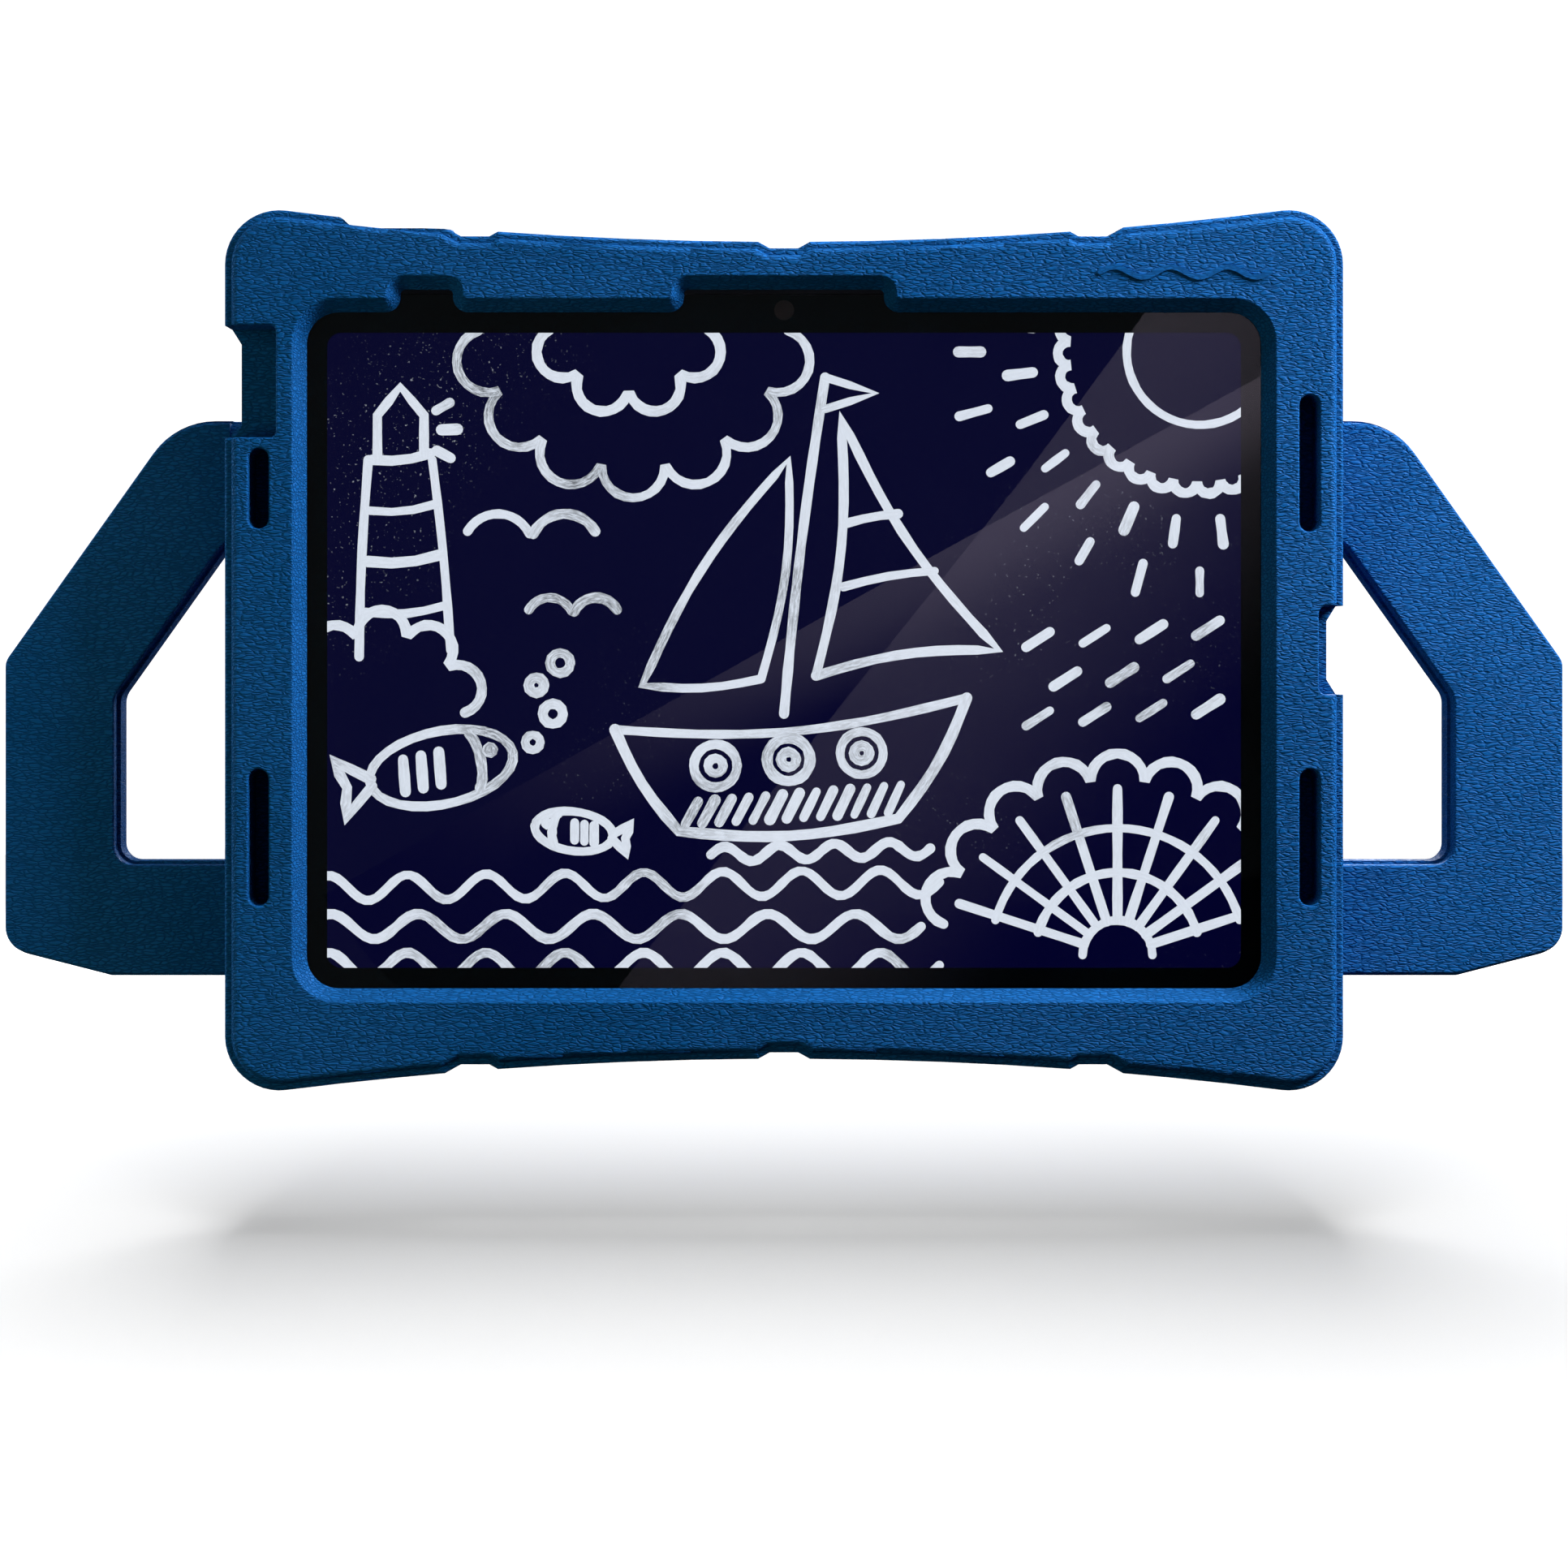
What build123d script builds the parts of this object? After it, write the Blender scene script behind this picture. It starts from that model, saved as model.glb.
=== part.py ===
from build123d import *
import os
from math import atan, degrees, sqrt

os.makedirs("parts", exist_ok=True)

# Foam tablet case with a swinging ring handle, in millimetres. X is the width, Z is up and the front
# faces -Y. The origin is at the middle of the overall box, on the surface that the case stands on.

# ---------------------------------------------------------------- tablet that the case is made for
tablet_w = 248.6
tablet_h = 179.5
tablet_t = 7.0
tablet_corner_r = 14.0
tablet_edge_r = 1.8
glass_t = 0.8
panel_t = 1.2
border_t = 0.3
skin_t = 1.2
bezel_side = 10.75
bezel_top = 10.85
screen_r = 3.5
front_camera_r = 2.5
front_camera_drop = 5.2
rear_camera_r = 5.6
rear_camera_rise = 1.0
rear_camera_in = 14.5
rear_camera_edge_r = 0.4
button_w = 11.0
button_t = 2.4
button_proud = 0.5
button_root = 0.8
button_clear = 0.1
port_w = 9.2
port_t = 3.2
port_deep = 6.0
port_shell = 0.25
port_back = 0.6
port_clear = 0.3

# ---------------------------------------------------------------- foam shell and front frame
side_clear = 0.2
face_clear = 0.1
wall_side = 14.0
wall_top = 19.1
back_wall = 8.0
lip_t = 4.0
corner_r = 13.5
arch = 7.84
rim_setback = 1.6
rim_r = 0.8
back_edge_r = 3.0
frame_inset = 1.8
shoulder_r = 1.7
lip_over = 5.8
window_r = 8.0
bevel = 3.0
recess_r = 1.2
edge_soft = 0.8
edge_r = 0.5
recess_edge = 0.2
camera_recess_w = 49.6
mic_recess_w = 13.0
mic_recess_in = 35.6
recess_overrun = 12.0

notch_x = 76.5
notch_deep = 1.6
notch_floor = 7.0
notch_mouth = 12.8
cut_over = 2.0

slot_beside = 5.5
slot_w = 5.0
slot_l = 33.8
slot_short_l = 19.9
slot_in = 43.55
slot_short_in = 49.75
slot_floor = 6.0
sound_end = 4.0

cutout_h = 27.8
cutout_in = 23.25
cutout_wall = 1.2
cutout_r = 1.6
cut_overrun = 20.0
side_scoop = 2.3
side_scoop_ramp = 3.68
port_notch_h = 22.0
port_notch_wall = 7.8
port_notch_r = 2.0
plug_w = 13.0
plug_side = 0.1

# ---------------------------------------------------------------- volume pads in the top wall
pad_in = 29.3
pad_pitch = 15.0
pad_w = 10.6
pad_t = 5.0
pad_h = 3.0
pad_proud = 1.5
pad_travel = 0.8
pad_clear = 0.35
pad_touch = 0.05
pad_spare = 0.5
pad_edge_r = 0.8
pad_side = 0.05
stem_root = 0.5
stem_w = 6.6
stem_t = 2.4
scoop_deep = 2.4
scoop_margin = 3.0
scoop_taper = 25.0
camera_hole_r = 7.5
camera_hole_taper = 20.0
battery_w = 95.0
battery_h = 120.0
battery_t = 3.2
battery_gap = 0.2
battery_apart = 2.0
battery_r = 3.0

# ---------------------------------------------------------------- handle ring
handle_gap = 0.5
handle_t = 12.5
loop_reach = 60.5
hinge_drop = 37.35
handle_bottom = 25.9
handle_band = 29.3
loop_shoulder = 17.0
loop_slope_h = 61.2
loop_foot = 33.5
handle_foot_rise = 6.9
handle_top_r = 19.5
handle_side_r = 5.4
handle_foot_r = 7.5
hole_r = 4.2
hole_top_r = 12.0
cover_t = 4.0
cover_inset = 0.8
cover_edge_r = 0.7
body_edge_r = 3.0
core_w = 18.0
core_t = 4.0
core_fit = 0.1
core_web = 10.0
corner_search = 0.5

# ---------------------------------------------------------------- hinge units
hinge_x = 60.0
knuckle_l = 13.0
knuckle_r = 5.5
bush_r = 3.0
pin_r = 2.0
pin_clear = 0.05
washer_r = 5.0
washer_t = 0.5
washer_gap = 0.05
ear_t = 4.0
slot_clear = 0.9
slot_below = 7.5
slot_above = 5.0
case_side_clear = 2.5
bracket_w = 28.0
bracket_h = 26.0
bracket_t = 3.0
bracket_r = 3.0
screw_pitch = 18.4
screw_r = 1.45
screw_head_r = 2.75
screw_head_t = 1.3
screw_sink = 0.2
screw_clear = 0.15
drive_r = 1.1
drive_deep = 0.9
screw_short = 0.5
head_taper = 45.0
insert_r = 2.1
insert_bore_r = 1.5
insert_l = 4.0
boss_r = 3.6
boss_clear = 0.1
plate_w = 170.0
plate_h = 62.0
plate_t = 2.0
plate_r = 6.0

# ---------------------------------------------------------------- places worked out from the sizes
case_w = tablet_w + 2 * side_clear + 2 * wall_side
case_h = tablet_h + 2 * side_clear + 2 * wall_top
mid_z = case_h / 2
tray_w = tablet_w + 2 * side_clear
tray_h = tablet_h + 2 * side_clear
tray_deep = tablet_t + 2 * face_clear
depth = lip_t + tray_deep + back_wall + handle_gap + handle_t

front_y = -depth / 2
rim_y = front_y + rim_setback
glass_y = front_y + lip_t
tray_y = glass_y + tray_deep
back_y = tray_y + back_wall
tablet_y = glass_y + face_clear
tablet_back_y = tablet_y + tablet_t
tablet_mid_y = tablet_y + tablet_t / 2
handle_y = back_y + handle_gap
handle_back_y = handle_y + handle_t
cover_back_y = handle_y + cover_t

tablet_half_w = tablet_w / 2
tablet_half_h = tablet_h / 2
tablet_top_z = mid_z + tablet_half_h
screen_w = tablet_w - 2 * bezel_side
screen_h = tablet_h - 2 * bezel_top
window_w = tablet_w - 2 * lip_over
window_h = tablet_h - 2 * lip_over
mic_recess_x = mic_recess_in - tablet_half_w
slot_x = tablet_half_w + slot_beside
slot_z = tablet_half_h - slot_in
slot_short_z = tablet_half_h - slot_short_in
pad_x = pad_in - tablet_half_w

axis_y = handle_y + handle_t / 2
axis_z = tablet_top_z - hinge_drop
handle_top = axis_z + handle_t / 2
handle_half = case_w / 2 + loop_reach
handle_shoulder_x = case_w / 2 + loop_shoulder
handle_foot_x = case_w / 2 + loop_foot
handle_side_z = handle_top - loop_slope_h
washer_space = washer_t + 2 * washer_gap
ear_in = knuckle_l / 2 + washer_space
ear_out = ear_in + ear_t
bracket_y = back_y - bracket_t
plate_back_y = tray_y + plate_t

arch_radius = ((case_w / 2 - corner_r) ** 2 + (corner_r - arch) ** 2 - corner_r**2) / (2 * arch)
window_taper = degrees(atan(bevel / lip_t))
rear_camera_x = -(tablet_half_w - rear_camera_in)
rear_camera_z = tablet_top_z - rear_camera_in
button_z = tablet_top_z - cutout_in
front_camera_z = tablet_top_z - front_camera_drop
battery_x = (battery_w + battery_apart) / 2
pad_places = [pad_x - pad_pitch / 2, pad_x + pad_pitch / 2]


def at_depth(y):
    """Upright drawing plane at depth y, seen from the front: local x is X and local y is Z."""
    return Plane(origin=(0, y, 0), x_dir=(1, 0, 0), z_dir=(0, -1, 0))


def across(x):
    """Drawing plane square to X at x, facing +X: local x is Y and local y is Z."""
    return Plane(origin=(x, 0, 0), x_dir=(0, 1, 0), z_dir=(1, 0, 0))


def level(z):
    """Level drawing plane at height z."""
    return Plane.XY.offset(z)


def near_height(outline, z):
    """The corners of a drawn outline that lie at height z."""
    return outline.vertices().filter_by_position(Axis.Y, z - corner_search, z + corner_search)


def edge_z(x):
    """Height of the arched bottom edge at x."""
    return arch - arch_radius + sqrt(arch_radius**2 - x**2)


scoop_z = case_h - edge_z(pad_x) - scoop_deep
pad_pocket = pad_h - pad_proud + pad_travel + pad_spare
stem_z = tablet_top_z + button_proud + pad_travel + pad_touch


def notch_face(x, top):
    """One sloped finger notch in the top or the bottom edge."""
    slope = (notch_mouth - notch_floor) / 2 / notch_deep
    edge = case_h - edge_z(x) if top else edge_z(x)
    up = 1 if top else -1
    half_floor = notch_floor / 2
    half_out = notch_mouth / 2 + slope * cut_over
    with BuildSketch() as notch:
        with BuildLine():
            Polyline(
                (x - half_out, edge + up * cut_over),
                (x - half_floor, edge - up * notch_deep),
                (x + half_floor, edge - up * notch_deep),
                (x + half_out, edge + up * cut_over),
                close=True,
            )
        make_face()
    return notch.sketch


def case_face():
    """Outline of the case: straight sides, hollowed top and bottom, rounded corners and six notches."""
    corner_z = edge_z(case_w / 2)
    half = case_w / 2
    with BuildSketch() as outline:
        with BuildLine():
            ThreePointArc((-half, corner_z), (0, arch), (half, corner_z))
            Line((half, corner_z), (half, case_h - corner_z))
            ThreePointArc((half, case_h - corner_z), (0, case_h - arch), (-half, case_h - corner_z))
            Line((-half, case_h - corner_z), (-half, corner_z))
        make_face()
        fillet(outline.vertices(), radius=corner_r)
        for x in (-notch_x, 0, notch_x):
            add(notch_face(x, True), mode=Mode.SUBTRACT)
            add(notch_face(x, False), mode=Mode.SUBTRACT)
    return outline.sketch


def frame_face():
    """Outline of the front frame, inside the shell's rim."""
    with BuildSketch() as outline:
        add(case_face())
        offset(amount=-frame_inset, kind=Kind.INTERSECTION)
    return outline.sketch


def recess_face(x, width):
    """A recess in the window's top edge that reaches to just inside the tablet's edge."""
    top = tablet_top_z - recess_edge
    with BuildSketch() as recess:
        with Locations((x, top - recess_overrun / 2)):
            RectangleRounded(width, recess_overrun, recess_r)
    return recess.sketch


def window_face():
    """The window at the glass, with its camera and microphone recesses."""
    with BuildSketch() as window:
        with Locations((0, mid_z)):
            RectangleRounded(window_w, window_h, window_r)
        add(recess_face(0, camera_recess_w))
        add(recess_face(mic_recess_x, mic_recess_w))
        edge = mid_z + window_h / 2
        for x, width in ((0, camera_recess_w), (mic_recess_x, mic_recess_w)):
            for side in (-1, 1):
                corner = window.vertices().sort_by_distance((x + side * width / 2, edge, 0))[0]
                fillet(corner, radius=bevel + edge_soft)
    return window.sketch


def slots_face(width, trim):
    """The four speaker slots; the upper left one is short."""
    with BuildSketch() as slots:
        with Locations((-slot_x, mid_z - slot_z), (slot_x, mid_z - slot_z), (slot_x, mid_z + slot_z)):
            SlotOverall(slot_l - trim, width, rotation=90)
        with Locations((-slot_x, mid_z + slot_short_z)):
            SlotOverall(slot_short_l - trim, width, rotation=90)
    return slots.sketch


def side_scoop_face(side, z, height):
    """A shallow sloped scoop in a side wall, as a face seen from the front."""
    half = case_w / 2
    with BuildSketch() as scoop:
        with BuildLine():
            Polyline(
                (side * (half + cut_over), z - height / 2),
                (side * half, z - height / 2),
                (side * (half - side_scoop), z - height / 2 + side_scoop_ramp),
                (side * (half - side_scoop), z + height / 2 - side_scoop_ramp),
                (side * half, z + height / 2),
                (side * (half + cut_over), z + height / 2),
                close=True,
            )
        make_face()
    return scoop.sketch


def side_cut_face(side, z, height, depth_in, radius):
    """A rounded cut that runs in from a side of the case."""
    length = depth_in + cut_overrun
    centre = side * (case_w / 2 - depth_in + length / 2)
    with BuildSketch() as cut:
        with Locations((centre, z)):
            RectangleRounded(length, height, radius)
    return cut.sketch


def cutout_face(wall):
    """The opening beside the tablet's top button, which leaves a wall beside the tablet's edge."""
    return side_cut_face(-1, button_z, cutout_h, wall_side + side_clear - wall, cutout_r)


def port_notch_face():
    """The notch in front of the charging port."""
    return side_cut_face(1, mid_z, port_notch_h, wall_side + side_clear - port_notch_wall, port_notch_r)


def handle_face():
    """Outer outline of the handle ring."""
    with BuildSketch() as outline:
        with BuildLine():
            Polyline(
                (-handle_foot_x, handle_bottom),
                (handle_foot_x, handle_bottom),
                (handle_half, handle_bottom + handle_foot_rise),
                (handle_half, handle_side_z),
                (handle_shoulder_x, handle_top),
                (-handle_shoulder_x, handle_top),
                (-handle_half, handle_side_z),
                (-handle_half, handle_bottom + handle_foot_rise),
                close=True,
            )
        make_face()
        fillet(outline.vertices().group_by(Axis.Y)[-1], radius=handle_top_r)
        fillet(near_height(outline, handle_side_z), radius=handle_side_r)
        fillet(near_height(outline, handle_bottom + handle_foot_rise), radius=handle_foot_r)
    return outline.sketch


def hole_face():
    """The opening inside the handle ring: a band's width in from every outer edge."""
    half = handle_half - handle_band
    run = handle_half - handle_shoulder_x
    rise = handle_top - handle_side_z
    slant = sqrt(run**2 + rise**2)
    top = handle_top - handle_band
    top_x = handle_shoulder_x - handle_band * (slant - run) / rise
    side_z = handle_side_z - handle_band * (slant - rise) / run
    with BuildSketch() as hole:
        with BuildLine():
            Polyline(
                (-half, handle_bottom + handle_band),
                (half, handle_bottom + handle_band),
                (half, side_z),
                (top_x, top),
                (-top_x, top),
                (-half, side_z),
                close=True,
            )
        make_face()
        fillet(hole.vertices().group_by(Axis.Y)[-1], radius=hole_top_r)
        fillet(hole.vertices().group_by(Axis.Y)[0], radius=hole_r)
        fillet(near_height(hole, side_z), radius=handle_side_r)
    return hole.sketch


def ring_face(inset):
    """The handle ring's face, drawn in by inset from its outer edge and from its hole."""
    with BuildSketch() as ring:
        add(handle_face())
        if inset:
            offset(amount=-inset)
        with BuildSketch(mode=Mode.SUBTRACT):
            add(hole_face())
            if inset:
                offset(amount=inset)
    return ring.sketch


def core_face(spare):
    """Stiff ring along the middle of the band, with spare round it for the pocket that it lies in."""
    margin = (handle_band - core_w) / 2 - spare
    return ring_face(margin)


def hinge_slots_face():
    """Slots in the handle's top bar, where the bracket ears stand."""
    half = ear_out + slot_clear
    high = handle_top + slot_above - (axis_z - slot_below)
    with BuildSketch() as slots:
        with Locations((-hinge_x, axis_z - slot_below + high / 2), (hinge_x, axis_z - slot_below + high / 2)):
            Rectangle(2 * half, high)
    return slots.sketch


# Waste round the top bar's edge behind the case, so that it turns about the pin with an even gap.
with BuildPart() as top_round_waste:
    waste_half = case_w / 2 + case_side_clear
    with BuildSketch(across(-waste_half)):
        with Locations((axis_y, axis_z + handle_t / 2)):
            Rectangle(handle_t + 2 * cut_over, handle_t)
        with Locations((axis_y, axis_z)):
            Circle(handle_t / 2, mode=Mode.SUBTRACT)
    extrude(amount=2 * waste_half)


# ---------------------------------------------------------------- the case
with BuildPart() as front_frame:
    with BuildSketch(at_depth(glass_y)):
        add(frame_face())
    extrude(amount=lip_t)
    fillet(front_frame.faces().sort_by(Axis.Y)[0].outer_wire().edges(), radius=shoulder_r)
    with BuildSketch(at_depth(glass_y)):
        add(window_face())
    extrude(amount=lip_t, taper=-window_taper, mode=Mode.SUBTRACT)
    with BuildSketch(at_depth(glass_y)):
        add(slots_face(slot_w, 0))
        add(cutout_face(cutout_wall))
        add(port_notch_face())
    extrude(amount=lip_t, mode=Mode.SUBTRACT)
    fillet(front_frame.faces().sort_by(Axis.Y)[0].edges(), radius=edge_r)
front_frame.part.label = "front_frame"
export_step(front_frame.part, "parts/front_frame.step")


with BuildPart() as rear_shell:
    with BuildSketch(at_depth(back_y)):
        add(case_face())
    extrude(amount=back_y - rim_y)
    fillet(rear_shell.faces().sort_by(Axis.Y)[-1].outer_wire().edges(), radius=back_edge_r)
    fillet(rear_shell.faces().sort_by(Axis.Y)[0].outer_wire().edges(), radius=rim_r)
    # seat for the front frame
    with BuildSketch(at_depth(rim_y)):
        add(frame_face())
    extrude(amount=-(glass_y - rim_y), mode=Mode.SUBTRACT)
    # tray that the tablet lies in
    with BuildSketch(at_depth(glass_y)):
        with Locations((0, mid_z)):
            RectangleRounded(tray_w, tray_h, tablet_corner_r + side_clear)
    extrude(amount=-tray_deep, mode=Mode.SUBTRACT)
    # seat for the backing plate, its bosses and the hinge brackets
    with BuildSketch(at_depth(tray_y)):
        with Locations((0, axis_z)):
            RectangleRounded(plate_w, plate_h, plate_r)
    extrude(amount=-plate_t, mode=Mode.SUBTRACT)
    with BuildSketch(at_depth(back_y)):
        with Locations((-hinge_x, axis_z), (hinge_x, axis_z)):
            RectangleRounded(bracket_w, bracket_h, bracket_r)
    extrude(amount=bracket_t, mode=Mode.SUBTRACT)
    with BuildSketch(at_depth(back_y)):
        with Locations((-hinge_x, axis_z), (hinge_x, axis_z)):
            with GridLocations(screw_pitch, screw_pitch, 2, 2):
                Circle(boss_r + boss_clear)
    extrude(amount=back_wall, mode=Mode.SUBTRACT)
    # speaker slots, open to the tablet's short sides
    with BuildSketch(at_depth(glass_y)):
        add(slots_face(slot_w, 0))
    extrude(amount=-slot_floor, mode=Mode.SUBTRACT)
    with BuildSketch(at_depth(glass_y)):
        with Locations((-slot_x + slot_w / 2, mid_z - slot_z), (slot_x - slot_w / 2, mid_z - slot_z),
                       (slot_x - slot_w / 2, mid_z + slot_z)):
            Rectangle(2 * slot_w, slot_l - 2 * sound_end)
        with Locations((-slot_x + slot_w / 2, mid_z + slot_short_z)):
            Rectangle(2 * slot_w, slot_short_l - 2 * sound_end)
    extrude(amount=-slot_floor, mode=Mode.SUBTRACT)
    # opening at the top button, notch and plug way at the charging port
    with BuildSketch(at_depth(tray_y)):
        add(cutout_face(-side_clear))
        add(port_notch_face())
    extrude(amount=tray_deep + lip_t, mode=Mode.SUBTRACT)
    with BuildSketch(at_depth(back_y)):
        add(side_scoop_face(-1, button_z, cutout_h))
        add(side_scoop_face(1, mid_z, port_notch_h))
    extrude(amount=depth, mode=Mode.SUBTRACT)
    with BuildSketch(across(tablet_half_w)):
        with Locations((tablet_mid_y, mid_z)):
            RectangleRounded(tray_deep, plug_w, tray_deep / 2 - plug_side)
    extrude(amount=wall_side + cut_over, mode=Mode.SUBTRACT)
    # hole for the rear camera, flared outwards
    with BuildSketch(at_depth(tray_y)):
        with Locations((rear_camera_x, rear_camera_z)):
            Circle(camera_hole_r)
    extrude(amount=-back_wall, taper=-camera_hole_taper, mode=Mode.SUBTRACT)
    # finger scoop, pad pockets and stem ways over the volume buttons
    with BuildSketch(level(scoop_z)):
        with Locations((pad_x, tablet_mid_y)):
            SlotOverall(pad_pitch + pad_w + 2 * scoop_margin, pad_t + 2 * scoop_margin)
    extrude(amount=wall_top, taper=-scoop_taper, mode=Mode.SUBTRACT)
    with BuildSketch(level(scoop_z)):
        with Locations((pad_places[0], tablet_mid_y), (pad_places[1], tablet_mid_y)):
            RectangleRounded(pad_w + 2 * pad_clear, pad_t + 2 * pad_clear, pad_t / 2)
    extrude(amount=-pad_pocket, mode=Mode.SUBTRACT)
    with BuildSketch(level(tablet_top_z)):
        with Locations((pad_places[0], tablet_mid_y), (pad_places[1], tablet_mid_y)):
            RectangleRounded(button_w + 2 * pad_clear, stem_t + 2 * pad_clear, stem_t / 2)
    extrude(amount=scoop_z - pad_pocket - tablet_top_z, mode=Mode.SUBTRACT)
rear_shell.part.label = "rear_shell"
export_step(rear_shell.part, "parts/rear_shell.step")


with BuildPart() as backing_plate:
    with BuildSketch(at_depth(plate_back_y)):
        with Locations((0, axis_z)):
            RectangleRounded(plate_w, plate_h, plate_r)
    extrude(amount=plate_t)
    with BuildSketch(at_depth(bracket_y)):
        with Locations((-hinge_x, axis_z), (hinge_x, axis_z)):
            with GridLocations(screw_pitch, screw_pitch, 2, 2):
                Circle(boss_r)
    extrude(amount=bracket_y - plate_back_y)
    with BuildSketch(at_depth(bracket_y)):
        with Locations((-hinge_x, axis_z), (hinge_x, axis_z)):
            with GridLocations(screw_pitch, screw_pitch, 2, 2):
                Circle(insert_r)
    extrude(amount=insert_l, mode=Mode.SUBTRACT)
backing_plate.part.label = "backing_plate"
export_step(backing_plate.part, "parts/backing_plate.step")


with BuildPart() as threaded_inserts:
    with BuildSketch(at_depth(bracket_y)):
        with Locations((-hinge_x, axis_z), (hinge_x, axis_z)):
            with GridLocations(screw_pitch, screw_pitch, 2, 2):
                Circle(insert_r)
                Circle(insert_bore_r, mode=Mode.SUBTRACT)
    extrude(amount=insert_l)
threaded_inserts.part.label = "threaded_inserts"
export_step(threaded_inserts.part, "parts/threaded_inserts.step")


def hinge_bracket(x):
    """Base plate sunk in the shell's back, with two ears that hold the pin."""
    with BuildPart() as bracket:
        with BuildSketch(at_depth(back_y)):
            with Locations((x, axis_z)):
                RectangleRounded(bracket_w, bracket_h, bracket_r)
        extrude(amount=bracket_t)
        for side in (-1, 1):
            inner = x + side * ear_in
            with BuildSketch(across(inner)):
                with Locations((axis_y, axis_z)):
                    Circle(knuckle_r)
                with Locations(((axis_y + back_y) / 2, axis_z)):
                    Rectangle(axis_y - back_y, 2 * knuckle_r)
                with Locations((axis_y, axis_z)):
                    Circle(pin_r, mode=Mode.SUBTRACT)
            extrude(amount=side * ear_t)
        screw_top = back_y - screw_sink
        with BuildSketch(at_depth(screw_top)):
            with Locations((x, axis_z)):
                with GridLocations(screw_pitch, screw_pitch, 2, 2):
                    Circle(screw_r + screw_clear)
        extrude(amount=bracket_t, mode=Mode.SUBTRACT)
        with BuildSketch(at_depth(back_y)):
            with Locations((x, axis_z)):
                with GridLocations(screw_pitch, screw_pitch, 2, 2):
                    Circle(screw_head_r + screw_sink)
        extrude(amount=screw_head_t + screw_sink, taper=head_taper, mode=Mode.SUBTRACT)
    return bracket.part


for side_name, side in (("left", -1), ("right", 1)):
    bracket_part = hinge_bracket(side * hinge_x)
    bracket_part.label = "hinge_bracket_" + side_name
    export_step(bracket_part, "parts/hinge_bracket_" + side_name + ".step")


with BuildPart() as bracket_screws:
    head_y = back_y - screw_sink
    with BuildSketch(at_depth(head_y)):
        with Locations((-hinge_x, axis_z), (hinge_x, axis_z)):
            with GridLocations(screw_pitch, screw_pitch, 2, 2):
                Circle(screw_head_r)
    extrude(amount=screw_head_t, taper=head_taper)
    with BuildSketch(at_depth(head_y)):
        with Locations((-hinge_x, axis_z), (hinge_x, axis_z)):
            with GridLocations(screw_pitch, screw_pitch, 2, 2):
                Circle(screw_r)
    extrude(amount=head_y - bracket_y + insert_l - screw_short)
    with BuildSketch(at_depth(head_y)):
        with Locations((-hinge_x, axis_z), (hinge_x, axis_z)):
            with GridLocations(screw_pitch, screw_pitch, 2, 2):
                RegularPolygon(drive_r, 6)
    extrude(amount=drive_deep, mode=Mode.SUBTRACT)
bracket_screws.part.label = "bracket_screws"
export_step(bracket_screws.part, "parts/bracket_screws.step")


def hinge_pin(x):
    """Pin pressed into both ears, flush with their outer faces."""
    with BuildPart() as pin:
        with BuildSketch(across(x - ear_out)):
            with Locations((axis_y, axis_z)):
                Circle(pin_r)
        extrude(amount=2 * ear_out)
    return pin.part


for side_name, side in (("left", -1), ("right", 1)):
    pin_part = hinge_pin(side * hinge_x)
    pin_part.label = "hinge_pin_" + side_name
    export_step(pin_part, "parts/hinge_pin_" + side_name + ".step")


with BuildPart() as friction_washers:
    for x in (-hinge_x, hinge_x):
        for side in (-1, 1):
            with BuildSketch(across(x + side * (knuckle_l / 2 + washer_gap))):
                with Locations((axis_y, axis_z)):
                    Circle(washer_r)
                    Circle(pin_r + pin_clear, mode=Mode.SUBTRACT)
            extrude(amount=side * washer_t)
friction_washers.part.label = "friction_washers"
export_step(friction_washers.part, "parts/friction_washers.step")


def volume_pad(x):
    """Rounded pad with a stem that reaches down to the tablet's button."""
    cap_z = scoop_z + pad_proud - pad_h
    with BuildPart() as pad:
        with BuildSketch(level(cap_z)):
            with Locations((x, tablet_mid_y)):
                RectangleRounded(pad_w, pad_t, pad_t / 2 - pad_side)
        extrude(amount=pad_h)
        fillet(pad.faces().sort_by(Axis.Z)[-1].edges(), radius=pad_edge_r)
        with BuildSketch(level(stem_z)):
            with Locations((x, tablet_mid_y)):
                Rectangle(stem_w, stem_t)
        extrude(amount=cap_z - stem_z + stem_root)
    return pad.part


for pad_name, x in (("volume_down_pad", pad_places[0]), ("volume_up_pad", pad_places[1])):
    pad_part = volume_pad(x)
    pad_part.label = pad_name
    export_step(pad_part, "parts/" + pad_name + ".step")


# ---------------------------------------------------------------- the handle
with BuildPart() as handle_front_cover:
    with BuildSketch(at_depth(cover_back_y)):
        add(ring_face(cover_inset))
    extrude(amount=cover_t)
    fillet(handle_front_cover.faces().sort_by(Axis.Y)[0].edges(), radius=cover_edge_r)
    add(top_round_waste.part, mode=Mode.SUBTRACT)
    with BuildSketch(at_depth(cover_back_y)):
        add(hinge_slots_face())
    extrude(amount=cover_t, mode=Mode.SUBTRACT)
handle_front_cover.part.label = "handle_front_cover"
export_step(handle_front_cover.part, "parts/handle_front_cover.step")


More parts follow.
